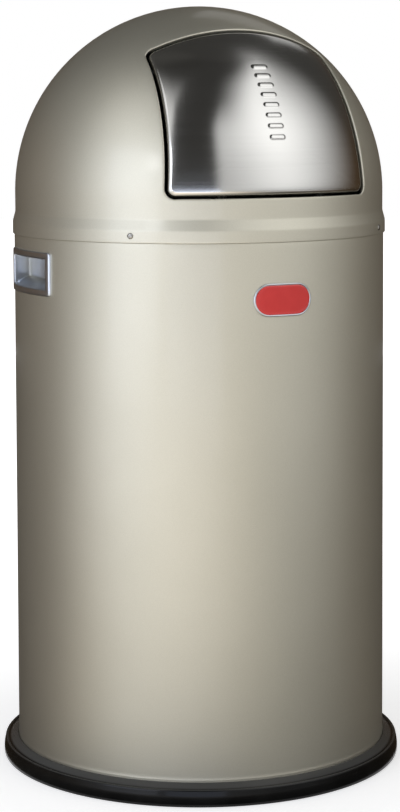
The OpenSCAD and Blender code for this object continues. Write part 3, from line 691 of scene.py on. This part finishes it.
def skirt_profiles():
    """(radius, height) pairs, front and back, from below the dome to the end of the rolled edge."""
    profile = [(DOME_R, z) for z in heights(SKIRT_TOP_Z, STEP_BEGIN_Z, 5)[1:]]
    for i in range(1, STEP_ROWS + 1):
        share = i / STEP_ROWS
        z = STEP_BEGIN_Z + (STEP_END_Z - STEP_BEGIN_Z) * share
        profile.append((DOME_R + (BAND_R - DOME_R) * ramp(share, STEP_BEND), z))
    profile += [(BAND_R, z) for z in heights(STEP_END_Z, SEAM_Z + LID_EDGE_R, 4)[1:-1]]
    back = [(r - LID_WALL, z) for r, z in profile]
    profile += arc(BAND_R - LID_EDGE_R, SEAM_Z + LID_EDGE_R, LID_EDGE_R, 0, -90, EDGE_STEPS)
    profile += [(BAND_R - CURL_R, SEAM_Z)]
    back += arc(BAND_R - LID_WALL - FOLD_R, SEAM_Z + LID_WALL + FOLD_R, FOLD_R, 0, -90, EDGE_STEPS)
    back += [(BAND_R - CURL_R, SEAM_Z + LID_WALL)]
    return profile, back


def edge_rows():
    """Loops of the opening's edge, front and back, from inside the lid over the bend to the dome."""
    rows = [lid_loop(0, drop) for drop in LID_EDGE_DROPS]
    back_rows = [edge_back(drop) for drop in LID_EDGE_DROPS]
    for i in range(1, LID_BEND_STEPS + 1):
        a = math.radians(90 * i / LID_BEND_STEPS)
        rows.append(lid_loop(-LID_BEND_R * (1 - math.cos(a)), LID_BEND_R * (1 - math.sin(a))))
    bend_begin = back_rows[-1]
    bend_end = [dome_back(p) for p in rows[-1]]
    for i in range(1, LID_BEND_STEPS + 1):
        back_rows.append([p.lerp(q, i / LID_BEND_STEPS) for p, q in zip(bend_begin, bend_end)])
    return rows, back_rows


def make_lid():
    rows, back_rows = edge_rows()
    columns = [dome_column(start) for start in rows[-1]]
    for i in range(LID_DOME_ROWS):
        rows.append([column[i] for column in columns])
        back_rows.append([dome_back(column[i]) for column in columns])
    angles = [math.atan2(p.y, p.x) for p in rows[-1]]
    for target, profile in zip((rows, back_rows), skirt_profiles()):
        for r, z in profile:
            target.append([polar(r, a, z) for a in angles])
    faces = grid_faces(len(rows), len(angles), flip=True)
    lid = closed_sheet("painted_lid", joined(rows), joined(back_rows), faces)
    dress(lid, "lid", "champagne_paint", "lid_dome")


# Flap: a bowed pan whose middle is a fine grid that carries the pressed grip ribs

PATCH_CELL = 0.7
PATCH_COLUMNS = 40
PATCH_ROWS = 136
FLAP_CORNER_STEPS = 10
FLAP_LOOPS = 14
FLAP_LOOP_SPACING = 1.25
FLAP_BEND_STEPS = 7
FLAP_EDGE_DROPS = (5, 7.5, FLAP_EDGE_DEPTH)
RIB_SLOPE = 1.7


def stadium_distance(u, v, w, h):
    """Distance outside a bar with round ends, negative inside."""
    reach = max(abs(u) - (w - h) / 2, 0)
    return math.hypot(reach, v) - h / 2


def rib_height(u, v):
    """How far the pressed ribs stand out of the flap."""
    total = 0
    for k in range(RIB_COUNT):
        middle = (k - (RIB_COUNT - 1) / 2) * RIB_PITCH
        distance = stadium_distance(u, v - middle, RIB_W, RIB_H)
        share = min(max(0.5 - distance / RIB_SLOPE, 0), 1)
        total += RIB_RISE * share * share * (3 - 2 * share)
    return total


def flap_point(u, v):
    point = on_ball(u, v, FLAP_R)
    return point + (point - DOME_CENTRE).normalized() * rib_height(u, v)


def patch_loop():
    """(column, row) of the grid's border, in step with the opening's outline."""
    half = FLAP_CORNER_STEPS // 2
    right, top = PATCH_COLUMNS, PATCH_ROWS
    loop = [(right, j) for j in range(top - half, top)]
    loop += [(i, top) for i in range(right, 0, -1)]
    loop += [(0, j) for j in range(top, 0, -1)]
    loop += [(i, 0) for i in range(right)]
    loop += [(right, j) for j in range(top - half)]
    return loop


def flap_outline(inset):
    rim_steps = PATCH_COLUMNS - FLAP_CORNER_STEPS
    side_steps = PATCH_ROWS - FLAP_CORNER_STEPS
    return opening_outline(inset, FLAP_CORNER_STEPS, rim_steps, side_steps)


def patch_place(i, j):
    return (i - PATCH_COLUMNS / 2) * PATCH_CELL, (j - PATCH_ROWS / 2) * PATCH_CELL


def flap_loops(start):
    """Loops from the patch's border out to the bend, round it and down the bent edge."""
    end = flap_outline(FLAP_MARGIN + FLAP_BEND_R)
    loops = []
    for k in range(1, FLAP_LOOPS + 1):
        s = (k / FLAP_LOOPS) ** FLAP_LOOP_SPACING
        loops.append([on_ball(*between(a, b, s), FLAP_R) for a, b in zip(start, end)])
    for k in range(1, FLAP_BEND_STEPS + 1):
        a = math.radians(90 * k / FLAP_BEND_STEPS)
        outline = flap_outline(FLAP_MARGIN + FLAP_BEND_R * (1 - math.sin(a)))
        loops.append([on_ball(u, v, FLAP_R, FLAP_BEND_R * (1 - math.cos(a))) for u, v in outline])
    for drop in FLAP_EDGE_DROPS:
        loops.append([on_ball(u, v, FLAP_R, drop) for u, v in flap_outline(FLAP_MARGIN)])
    return loops


def make_flap():
    width = PATCH_COLUMNS + 1
    points = [flap_point(*patch_place(i, j)) for j in range(PATCH_ROWS + 1) for i in range(width)]
    faces = grid_faces(PATCH_ROWS + 1, width, wrap_columns=False)
    border = patch_loop()
    loops = flap_loops([patch_place(i, j) for i, j in border])
    add_loops(points, faces, [j * width + i for i, j in border], loops)
    flap = new_object("stainless_flap", points, faces)
    thicken(flap, FLAP_WALL)
    dress(flap, "flap", "brushed_stainless", "flap_panel")


# Grips: a rounded frame on the body and a finger cup with an undercut

# Loops of the frame: inset from its outline, height above the body
FRAME_FRONT = [(0, 0.12), (0, 1.3), (0.25, 1.85), (0.8, 2.2), (1.6, 2.3), (3.2, 2.42), (4.6, 2.36),
               (5.4, 2.2), (6.1, 1.75), (6.42, 1), (GRIP_BORDER, 0), (GRIP_BORDER, -2)]
FRAME_BACK = [(0.3, 0.1), (0.6, 0.1), (0.9, 0.1), (1.4, 0.1), (2, 0.1), (3.2, 0.1), (4.2, 0.1),
              (4.7, 0.1), (5.1, 0.1), (5.4, 0), (5.5, -0.6), (5.5, -2)]
FRAME_CORNER_R = 3
FRAME_CORNER_STEPS = 6
FRAME_SIDE_STEPS = (16, 6)
CUP_FLOOR_X = BODY_R - 3
CUP_MOUTH_X = 177.4
CUP_LIP_R = 1.2
CUP_MIDDLE_X = 170
CUP_BOTTOM_SHARES = (0.8, 0.55, 0.3, 0.1)


def frame_loop(half_w, top, bottom, corner):
    """(along, height) points of a rounded rectangle, counterclockwise from the right."""
    corner = min(corner, half_w, (top - bottom) / 2)
    places = [(half_w - corner, top - corner, 0), (-half_w + corner, top - corner, 90),
              (-half_w + corner, bottom + corner, 180), (half_w - corner, bottom + corner, 270)]
    corners = [arc(y, z, corner, start, start + 90, FRAME_CORNER_STEPS) for y, z, start in places]
    loop = []
    for k, curve in enumerate(corners):
        following = corners[(k + 1) % 4]
        loop += curve + line_between(curve[-1], following[0], FRAME_SIDE_STEPS[k % 2])
    return loop


def on_body(inset, proud, corner):
    """A loop that follows the body's curve, the inset within the grip's outline."""
    half_h = GRIP_H / 2 - inset
    loop = frame_loop(GRIP_W / 2 - inset, half_h, -half_h, corner)
    return [(math.sqrt((BODY_R + proud) ** 2 - y * y), y, z) for y, z in loop]


def cup_ceiling(wall, bend):
    """(x, rise above the mouth) from the mouth round its lip and the bend to the back of the cup."""
    lip = arc(GRIP_LIP_X + 1, CUP_LIP_R, CUP_LIP_R - wall, -90, -180, 5)
    top = GRIP_UNDERCUT + wall
    return [(CUP_MOUTH_X, wall)] + lip + bend + [(CUP_MIDDLE_X, top), (GRIP_BACK_X + 1.2, top)]


def cup_rows(ceiling, wall, corner, foot):
    """Loops of the cup's side, then of its bottom; the foot has (x, inset, rise, corner)."""
    mouth_w = GRIP_W / 2 - GRIP_BORDER
    mouth_h = GRIP_H / 2 - GRIP_BORDER
    slope = GRIP_FLOOR_RISE / (CUP_FLOOR_X - GRIP_BACK_X)
    rows = []
    for x, rise in ceiling:
        floor_z = -mouth_h + slope * (CUP_FLOOR_X - x) - wall
        rows.append([(x, y, z) for y, z in frame_loop(mouth_w + wall, mouth_h + rise, floor_z, corner)])
    top = mouth_h + GRIP_UNDERCUT
    low = -mouth_h + GRIP_FLOOR_RISE
    for x, side_in, floor_in, r in foot:
        loop = frame_loop(mouth_w - side_in, top - side_in, low + floor_in, r)
        rows.append([(x, y, z) for y, z in loop])
    middle = (top + low) / 2
    for share in CUP_BOTTOM_SHARES:
        rows.append([(x, y * share, middle + (z - middle) * share) for x, y, z in rows[-1]])
    return rows


def grip_rows():
    """Loops of (x, y, z), front and back, from the frame's outer edge to the back of the cup."""
    front = [on_body(inset, proud, max(FRAME_CORNER_R - inset * 0.3, 1.4))
             for inset, proud in FRAME_FRONT]
    back = [on_body(inset, proud, FRAME_CORNER_R - inset * 0.1) for inset, proud in FRAME_BACK]
    bend = [(GRIP_LIP_X - 0.4, GRIP_UNDERCUT - 1), (GRIP_LIP_X - 1, GRIP_UNDERCUT)]
    foot = [(GRIP_BACK_X + 0.3, 0.35, 0.1, 1.6), (GRIP_BACK_X, 1.2, 0.9, 1.4)]
    front += cup_rows(cup_ceiling(0, bend), 0, 1.6, foot)
    bend = [(GRIP_LIP_X + 0.6, GRIP_UNDERCUT - 0.6), (GRIP_LIP_X, GRIP_UNDERCUT + GRIP_WALL)]
    foot = [(GRIP_BACK_X - 0.5, -0.6, -0.7, 2.4), (GRIP_BACK_X - GRIP_WALL, 0.2, 0, 2.2)]
    back += cup_rows(cup_ceiling(GRIP_WALL, bend), GRIP_WALL, 2.6, foot)
    return front, back


def make_grip(name, node, side):
    sheets = grip_rows()
    rows, count = len(sheets[0]), len(sheets[0][0])
    front, back = ([Vector((side * x, y, GRIP_Z + z)) for x, y, z in joined(sheet)] for sheet in sheets)
    faces = grid_faces(rows, count, flip=side < 0)
    cap = [(rows - 1) * count + j for j in range(count)]
    faces.append(tuple(cap if side > 0 else reversed(cap)))
    grip = closed_sheet(name, front, back, faces)
    dress(grip, "base", "satin_chrome", node)


# Nameplate: a blank tray with a rolled border and an enamel field

FIELD_SHARES = (0.85, 0.65, 0.45, 0.25, 0.08)
PLATE_END_STEPS = 14
PLATE_SIDE_STEPS = 8


def stadium_loop(w, h):
    reach = (w - h) / 2
    right = arc(reach, 0, h / 2, -90, 90, PLATE_END_STEPS)
    left = arc(-reach, 0, h / 2, 90, 270, PLATE_END_STEPS)
    top = line_between(right[-1], left[0], PLATE_SIDE_STEPS)
    return right + top + left + line_between(left[-1], right[0], PLATE_SIDE_STEPS)


def on_front(x, z, proud):
    return (x, -math.sqrt((BODY_R + proud) ** 2 - x * x), PLATE_Z + z)


def front_stack(name, shapes):
    """A piece on the body's front, from loops of (inset, height above the body)."""
    rows = []
    for inset, proud in shapes:
        loop = stadium_loop(PLATE_W - 2 * inset, PLATE_H - 2 * inset)
        rows.append([on_front(x, z, proud) for x, z in loop])
    for share in FIELD_SHARES:
        rows.append([on_front(x * share, z * share, proud) for x, z in loop])
    count = len(loop)
    faces = grid_faces(len(rows), count, flip=True)
    faces.append(tuple(range(count)))
    faces.append(tuple(reversed(range((len(rows) - 1) * count, len(rows) * count))))
    return closed_object(name, joined(rows), faces)


def make_nameplate():
    border = PLATE_BORDER
    tray = [(0.1, 0.1), (0, 0.5), (0, 1.1), (0.15, 1.55), (0.5, 1.82), (0.9, 1.9), (1.3, 1.82),
            (border - 0.15, 1.5), (border, 1.1)]
    dress(front_stack("blank_nameplate", tray), "base", "satin_chrome", "nameplate")
    field = [(border + 0.1, 1.12), (border + 0.1, 1.32), (border + 0.35, 1.46), (border + 0.9, 1.52)]
    dress(front_stack("red_nameplate_field", field), "base", "red_enamel", "nameplate_enamel")


# Lid screws: four slotted heads with their shanks, each slot turned its own way

SCREW_COUNT = 4
SCREW_SEAT_R = BAND_R + 0.1
FIRST_SCREW_TURN = 45
FIRST_SLOT_TURN = 38
SLOT_TURN_STEP = 50
HEAD_EDGE_H = 0.45
HEAD_BULGE = 2.4
HEAD_END_SHARE = 0.985
HEAD_COLUMNS = 15
HEAD_STEPS = 9
SLOT_HALF_W = 0.4
SLOT_FOOT_HALF_W = 0.37
SLOT_FLOOR_Z = 0.38
SHANK_STATIONS = ((SHANK_R, 0), (SHANK_R, -7.2), (SHANK_R - 0.3, -7.7))


def head_height(x, y):
    """Height of the domed head above its seat."""
    share = min(math.hypot(x, y) / SCREW_R, 1)
    return HEAD_EDGE_H + (SCREW_H - HEAD_EDGE_H) * math.sqrt(max(1 - share ** HEAD_BULGE, 0))


def head_stations():
    """(x, floor of the slot or None) across the head, from one side to the other."""
    run = SCREW_R * HEAD_END_SHARE - SLOT_HALF_W
    half = [SLOT_HALF_W + run * math.sin(math.pi / 2 * i / HEAD_STEPS) for i in range(HEAD_STEPS + 1)]
    slot = [(-SLOT_FOOT_HALF_W, SLOT_FLOOR_Z), (SLOT_FOOT_HALF_W, SLOT_FLOOR_Z)]
    return [(-x, None) for x in reversed(half)] + slot + [(x, None) for x in half]


def head_rim(rows, count):
    """Point numbers round the border of the head's grid."""
    rim = list(range(count)) + [i * count + count - 1 for i in range(1, rows)]
    rim += [(rows - 1) * count + j for j in range(count - 2, -1, -1)]
    return rim + [i * count for i in range(rows - 2, 0, -1)]


def screw_mesh():
    """One slotted screw as a closed mesh: domed head, slot and shank, seat at height 0."""
    stations = head_stations()
    points = []
    for x, floor_z in stations:
        reach = math.sqrt(SCREW_R ** 2 - x * x)
        for j in range(HEAD_COLUMNS):
            y = reach * math.sin(math.pi * (j / (HEAD_COLUMNS - 1) - 0.5))
            points.append((x, y, head_height(x, y) if floor_z is None else floor_z))
    faces = grid_faces(len(stations), HEAD_COLUMNS, wrap_columns=False)
    rim = head_rim(len(stations), HEAD_COLUMNS)
    angles = [math.atan2(points[i][1], points[i][0]) for i in rim]
    loops = [[(points[i][0], points[i][1], 0) for i in rim]]
    loops += [[polar(r, a, z) for a in angles] for r, z in SHANK_STATIONS]
    faces.append(tuple(add_loops(points, faces, rim, loops, flip=True)))
    return points, faces


def make_screws():
    points = []
    faces = []
    screw_points, screw_faces = screw_mesh()
    for k in range(SCREW_COUNT):
        out = polar(1, math.radians(FIRST_SCREW_TURN + 360 / SCREW_COUNT * k))
        along = UP.cross(out)
        turn = math.radians(FIRST_SLOT_TURN + SLOT_TURN_STEP * k)
        first_axis = along * math.cos(turn) + UP * math.sin(turn)
        second_axis = out.cross(first_axis)
        seat = out * SCREW_SEAT_R + UP * SCREW_Z
        first = len(points)
        points += [seat + first_axis * x + second_axis * y + out * z for x, y, z in screw_points]
        faces += [tuple(first + i for i in face) for face in screw_faces]
    screws = closed_object("slotted_lid_screws", points, faces)
    dress(screws, "lid", "zinc_fastener", "lid_screws")


# Pail, bail and springs

PAIL_COLUMNS = 180
PAIL_ROWS = 26
BAIL_BEND_R = 7
BAIL_BORE_R = BAIL_R + 0.15
SLEEVE_VALLEY_R = BAIL_GRIP_R - 0.9
SLEEVE_RIB_H = 0.7
SLEEVE_END = 2
SLEEVE_SIDES = 28
SLEEVE_RIBS = 13
SLEEVE_RIB_STEPS = 6
SLEEVE_BORE_STEPS = 24
SPRING_R = 6.5
SPRING_WIRE_R = 0.8
SPRING_PITCH = 2.1
SPRING_TURNS = 6
SPRING_STEPS = 28
SPRING_BEGIN = math.radians(150)
SPRING_X = 48
SPRING_LEG = 26
LEG_STEPS = 4


def make_pail():
    roll_z = PAIL_RIM_Z - PAIL_ROLL_R
    foot_r = PAIL_ROLL_IN - PAIL_ROLL_R + PAIL_WALL - PAIL_TAPER
    profile = []
    for z in heights(PAIL_FOOT_Z, roll_z, PAIL_ROWS):
        r = foot_r + PAIL_TAPER * (z - PAIL_FOOT_Z) / (roll_z - PAIL_FOOT_Z)
        profile.append((r - PAIL_WALL, z))
    profile += arc(PAIL_ROLL_IN, roll_z, PAIL_ROLL_R, 180, -90, 20)[1:]
    faces = grid_faces(len(profile), PAIL_COLUMNS)
    pail = new_object("rolled_rim_pail", turned(profile, PAIL_COLUMNS), faces)
    pail.data.flip_normals()
    thicken(pail, PAIL_WALL)
    dress(pail, "pail", "galvanised_steel", "pail_shell")


def make_bail():
    """The wire hoop lies on the rim; its ends turn inwards through the ears."""
    path = [(BAIL_END_X, 0, BAIL_Z), (BAIL_END_X + 3, 0, BAIL_Z)]
    bend = arc(PAIL_ROLL_IN - BAIL_BEND_R, BAIL_BEND_R, BAIL_BEND_R, -90, 0, 8)
    start = math.degrees(math.atan2(BAIL_BEND_R, PAIL_ROLL_IN))
    path += [(x, y, BAIL_Z) for x, y in bend + arc(0, 0, PAIL_ROLL_IN, start + 1, 90, 42)]
    path += [(-x, y, z) for x, y, z in reversed(path[:-1])]
    dress(tube("bail_wire", path, BAIL_R, sides=20), "bail", "bright_steel", "pail_bail")


def sleeve_section():
    """(place along the wire, radius) round the sleeve's wall, from its outside to its bore."""
    half = BAIL_GRIP_LEN / 2
    count = SLEEVE_RIBS * SLEEVE_RIB_STEPS
    stations = []
    for k in range(count + 1):
        share = k / count
        wave = abs(math.sin(math.pi * share * SLEEVE_RIBS))
        s = -half + SLEEVE_END + (BAIL_GRIP_LEN - 2 * SLEEVE_END) * share
        stations.append((s, SLEEVE_VALLEY_R + SLEEVE_RIB_H * wave))
    ends = [(half, BAIL_BORE_R), (half, BAIL_GRIP_R - 1.4), (half - 0.6, BAIL_GRIP_R - 0.8)]
    section = [(-s, r) for s, r in ends] + stations + [(s, r) for s, r in reversed(ends)]
    return section + [(s, BAIL_BORE_R) for s in heights(half, -half, SLEEVE_BORE_STEPS)[1:-1]]


def make_bail_grip():
    """A ribbed plastic sleeve on the middle of the bail."""
    section = sleeve_section()
    points = []
    for s, r in section:
        out = polar(1, math.pi / 2 - s / PAIL_ROLL_IN)
        centre = out * PAIL_ROLL_IN + UP * BAIL_Z
        for j in range(SLEEVE_SIDES):
            a = 2 * math.pi * j / SLEEVE_SIDES
            points.append(centre + r * (math.cos(a) * out + math.sin(a) * UP))
    faces = grid_faces(len(section), SLEEVE_SIDES, wrap_rows=True)
    sleeve = closed_object("ribbed_bail_grip", points, faces)
    dress(sleeve, "bail", "black_plastic", "pail_bail_grip")


def make_spring(name, node, side):
    path = []
    for i in range(SPRING_TURNS * SPRING_STEPS + 1):
        a = SPRING_BEGIN - 2 * math.pi * i / SPRING_STEPS
        x = side * (SPRING_X + SPRING_PITCH * i / SPRING_STEPS)
        path.append(Vector((x, HINGE_Y + SPRING_R * math.cos(a), HINGE_Z + SPRING_R * math.sin(a))))
    first = (path[0] - path[1]).normalized()
    last = (path[-1] - path[-2]).normalized()
    path = [path[0] + first * SPRING_LEG * k / LEG_STEPS for k in range(LEG_STEPS, 0, -1)] + path
    path += [path[-1] + last * SPRING_LEG * k / LEG_STEPS for k in range(1, LEG_STEPS + 1)]
    dress(tube(name, path, SPRING_WIRE_R, sides=12), "lid", "dark_spring_steel", node)


def finish_cad_nodes():
    """Gives each node that keeps its own mesh the material of its slot."""
    for row in frame["record"]["subparts"]:
        node = frame["nodes"][row["node"]]
        node.data.materials.clear()
        node.data.materials.append(MATERIALS[row["material_slot"]])


# Stage: camera, lamps and surroundings; a turn is in degrees round the bin, from the camera to its right

CAMERA_TURN = math.radians(25.05)
CAMERA_PITCH = 0.0719
CAMERA_ROLL = -0.0038
CAMERA_DISTANCE = 2.19422
CAMERA_HEIGHT = 0.66982
CAMERA_LENS = 96.857
CAMERA_SHIFT = (0.0013, -0.198)
TO_CAMERA = Vector((-math.sin(CAMERA_TURN), -math.cos(CAMERA_TURN), 0))
CAMERA_RIGHT = UP.cross(TO_CAMERA)

# Light: levels are radiance, and tints are green and blue next to a red of 1, cool and warm
WORLD_LEVEL = 0.45
KEY_COLOUR = (0.9, 1, 1.26)
SURROUND_R = 3.4
SURROUND_CENTRE = 0.6
SURROUND_DIM = 0.04
SURROUND_TINTS = ((0.97, 0.9), (0.64, 0.36))
CARD_DIM = 0.03
CARD_HEIGHT = 0.002
CARD_TINTS = ((0.91, 0.77), (0.7, 0.42))
CARD_RADII = [0.2015, 0.26, 0.4, 0.7, 1.1, 1.7, 2.4, 3.36]
PANEL_TURNS = range(-180, 181, 3)
PANEL_LIFTS = [-10 + 2.5 * i for i in range(41)]
FLOOR_RADII = [0.05, 0.3, 0.8, 2, 5, 9]
FLOOR_COLUMNS = 64


def around(turn, distance, height):
    """Place round the bin, in metres."""
    a = math.radians(turn)
    return (TO_CAMERA * math.cos(a) + CAMERA_RIGHT * math.sin(a)) * distance + UP * height


def make_camera():
    behind = TO_CAMERA * math.cos(CAMERA_PITCH) + UP * math.sin(CAMERA_PITCH)
    above = -TO_CAMERA * math.sin(CAMERA_PITCH) + UP * math.cos(CAMERA_PITCH)
    right = CAMERA_RIGHT * math.cos(CAMERA_ROLL) + above * math.sin(CAMERA_ROLL)
    top = above * math.cos(CAMERA_ROLL) - CAMERA_RIGHT * math.sin(CAMERA_ROLL)
    data = bpy.data.cameras.new("camera")
    data.lens = CAMERA_LENS
    data.shift_x, data.shift_y = CAMERA_SHIFT
    camera = bpy.data.objects.new("camera", data)
    add_to_scene(camera)
    axes = Matrix((right, top, behind)).transposed().to_4x4()
    camera.matrix_world = Matrix.Translation(around(0, CAMERA_DISTANCE, CAMERA_HEIGHT)) @ axes
    bpy.context.scene.camera = camera


def add_softbox(name, place, size, radiance, aim=0.45, colour=(1, 1, 1)):
    """A rectangular lamp at (turn, distance, height) that faces the bin's axis at its aim's height."""
    width, tall = size
    data = bpy.data.lights.new(name, "AREA")
    data.color = colour
    data.shape = "RECTANGLE"
    data.size = width
    data.size_y = tall
    data.energy = radiance * math.pi * width * tall
    lamp = bpy.data.objects.new(name, data)
    lamp.location = around(*place)
    lamp.rotation_mode = "QUATERNION"
    lamp.rotation_quaternion = (UP * aim - lamp.location).to_track_quat("-Z", "Y")
    add_to_scene(lamp)


def eased(value, low, high):
    """0 below the low end, 1 above the high end and a smooth rise between them."""
    share = min(max((value - low) / (high - low), 0), 1)
    return share * share * (3 - 2 * share)


def window(value, rise_from, rise_to, fall_from, fall_to):
    """1 between the rise and the fall, and 0 outside them."""
    return eased(value, rise_from, rise_to) * (1 - eased(value, fall_from, fall_to))


def left_window(turn, lift):
    """How open the studio's dark surround is on the left, towards the key lamp."""
    return window(turn, -88, -50, -24, -20) * (1 - eased(lift, 42, 74))


def right_window(turn, lift):
    """Brightness of the wide soft light on the right, which swells towards its middle."""
    begin = 9 + 0.45 * max(lift - 40, 0)
    middle = 54 + 2.2 * max(lift - 52, 0)
    end = 114 + 0.35 * max(lift, 0)
    sharp = 0.5 * (1 - eased(lift, 35, 60))
    rise = sharp * eased(turn, begin, begin + 5) + (1 - sharp) * eased(turn, begin, middle)
    across = rise * (1 - eased(turn, middle - 2, end))
    low = 1 - 0.78 * eased(turn, 12, 45) * (1 - eased(lift, -8, 4))
    peak = 1.3 + 0.3 * eased(lift, 10, 30) - 0.25 * eased(lift, 35, 60)
    return peak * across * low * (1 - eased(lift, 60, 74))


def surround_level(turn, lift):
    """Brightness of the surround itself: dark ahead and above, dim at the sides and back."""
    side = eased(abs(turn), 60, 110) * (0.09 - 0.06 * eased(abs(turn), 105, 145))
    right = 1 - 0.6 * window(turn, 40, 90, 130, 170)
    return SURROUND_DIM + side * right * (1 - 0.65 * eased(lift, 15, 60))


def card_level(turn, radius):
    """Brightness of the floor as the bin's sides mirror it."""
    key = window(turn, -90, -40, -30, 70)
    front = window(turn, -50, -12, 2, 50) * eased(radius, 0.3, 1.4)
    far = eased(radius, 0.16, 0.5) * (1 - 0.2 * eased(radius, 1.2, 2.2))
    side = 0.05 - 0.04 * eased(abs(turn), 90, 130)
    return CARD_DIM + (side + 0.65 * key + 1.2 * front) * far


def card_cover(turn, radius):
    """How much of the floor card is there; it lets the pale floor through to both sides."""
    left = window(turn, -95, -55, -50, -20)
    right = 0.6 * window(turn, 20, 50, 60, 110)
    return 1 - (left + right) * eased(radius, 0.6, 2.6)


def tinted(level, warm, tints):
    """Red, green and blue at a level, from the cool tint to the warm one."""
    return [level] + [level * (a + (b - a) * warm) for a, b in zip(*tints)]


def studio_panel(name, points, colours, covers):
    """A panel that only mirror-like light sees, with its own brightness and soft edges."""
    columns = len(PANEL_TURNS)
    panel = new_object(name, points, grid_faces(len(points) // columns, columns, wrap_columns=False))
    material, tree = new_material(name)
    tree.nodes.clear()
    painted = add_node(tree, "Attribute", "Color", attribute_name="panel_light")
    glow = add_node(tree, "Emission", "Emission", {"Color": painted})
    clear = add_node(tree, "BsdfTransparent", "BSDF")
    shares = {0: painted.node.outputs["Alpha"], 1: clear, 2: glow}
    both = add_node(tree, "MixShader", "Shader", shares)
    feed(tree.nodes.new("ShaderNodeOutputMaterial").inputs["Surface"], both)
    panel.data.materials.append(material)
    layer = panel.data.color_attributes.new("panel_light", "FLOAT_COLOR", "POINT")
    for i, (colour, cover) in enumerate(zip(colours, covers)):
        layer.data[i].color = (*colour, cover)
    panel.visible_camera = panel.visible_diffuse = panel.visible_shadow = False


def make_surround():
    """A dark dome round the set, open where the lamps and the white background look in."""
    points = []
    colours = []
    for lift in PANEL_LIFTS:
        flat = SURROUND_R * math.cos(math.radians(lift))
        height = SURROUND_CENTRE + SURROUND_R * math.sin(math.radians(lift))
        for turn in PANEL_TURNS:
            points.append(around(turn, flat, height) / MM)
            light = left_window(turn, lift) + right_window(turn, lift)
            dim = surround_level(turn, lift) * max(1 - light, 0)
            warm = eased(abs(turn), 40, 100) * (1 - eased(lift, 5, 35))
            colours.append([light + share for share in tinted(dim, warm, SURROUND_TINTS)])
    studio_panel("surround", points, colours, [1] * len(points))


def make_floor_card():
    places = [(turn, radius) for radius in CARD_RADII for turn in PANEL_TURNS]
    points = [around(turn, radius, CARD_HEIGHT) / MM for turn, radius in places]
    colours = [tinted(card_level(*place), eased(abs(place[0]), 40, 100), CARD_TINTS) for place in places]
    studio_panel("floor_card", points, colours, [card_cover(*place) for place in places])


def seen_directly(tree):
    """1 for camera, mirror-like and transmitted rays, 0 for other light."""
    seen = add_node(tree, "LightPath", "Is Camera Ray")
    rays = seen.node.outputs
    mirrored = maths("MAXIMUM", seen, rays["Is Glossy Ray"])
    return maths("MAXIMUM", mirrored, rays["Is Transmission Ray"])


def make_floor():
    """A pale round floor that turns to the white of the background away from the bin."""
    faces = grid_faces(len(FLOOR_RADII), FLOOR_COLUMNS)
    faces.append(tuple(range(FLOOR_COLUMNS)))
    floor = new_object("floor", turned([(r / MM, 0) for r in FLOOR_RADII], FLOOR_COLUMNS), faces)
    floor.data.flip_normals()
    material, tree = new_material("pale_floor")
    shader = node_of_type(tree, "BSDF_PRINCIPLED")
    feed_all(shader, {"Base Color": (0.8, 0.8, 0.8, 1), "Roughness": 0.9, "Specular IOR Level": 0.2})
    place = add_node(tree, "TexCoord", "Object")
    distance = add_node(tree, "VectorMath", "Value", {0: place}, operation="LENGTH")
    strength = maths("MULTIPLY", seen_directly(tree), spread(distance, 0.55, 1.0, 0.25, 1.0))
    glow = add_node(tree, "Emission", "Emission", {"Strength": strength})
    both = add_node(tree, "AddShader", "Shader", {0: shader.outputs["BSDF"], 1: glow})
    feed(node_of_type(tree, "OUTPUT_MATERIAL").inputs["Surface"], both)
    floor.data.materials.append(material)


def make_world():
    """White for the camera and in reflections, a plain level for other light."""
    world = bpy.data.worlds.new("studio")
    world.use_nodes = True
    tree = world.node_tree
    tree.nodes.clear()
    strength = spread(seen_directly(tree), WORLD_LEVEL, 1, 0, 1)
    light = add_node(tree, "Background", "Background", {"Color": (1, 1, 1, 1), "Strength": strength})
    feed(tree.nodes.new("ShaderNodeOutputWorld").inputs["Surface"], light)
    bpy.context.scene.world = world


make_base_ring()
make_body()
make_lid()
make_flap()
make_grip("pressed_grip_left", "grip_left", -1)
make_grip("pressed_grip_right", "grip_right", 1)
make_nameplate()
make_screws()
make_pail()
make_bail()
make_bail_grip()
make_spring("return_spring_left", "spring_left", -1)
make_spring("return_spring_right", "spring_right", 1)
finish_cad_nodes()

make_world()
make_floor()
make_camera()
make_surround()
make_floor_card()
add_softbox("key", place=(-39, 2.5, 0.9), size=(1.45, 1.6), radiance=1.48, colour=KEY_COLOUR)
add_softbox("low", place=(-3, 2.3, 0.3), size=(1.3, 0.52), radiance=1.45, colour=KEY_COLOUR)
add_softbox("upper", place=(-60, 1.6, 2.2), size=(1.2, 1.0), radiance=0.45, aim=0.6)
add_softbox("spark", place=(-27, 2.1, 1.25), size=(0.3, 0.3), radiance=7)
add_softbox("top", place=(165, 2.2, 2.3), size=(1.2, 0.8), radiance=0.5, aim=0.6)

bpy.context.scene.view_settings.view_transform = "Standard"
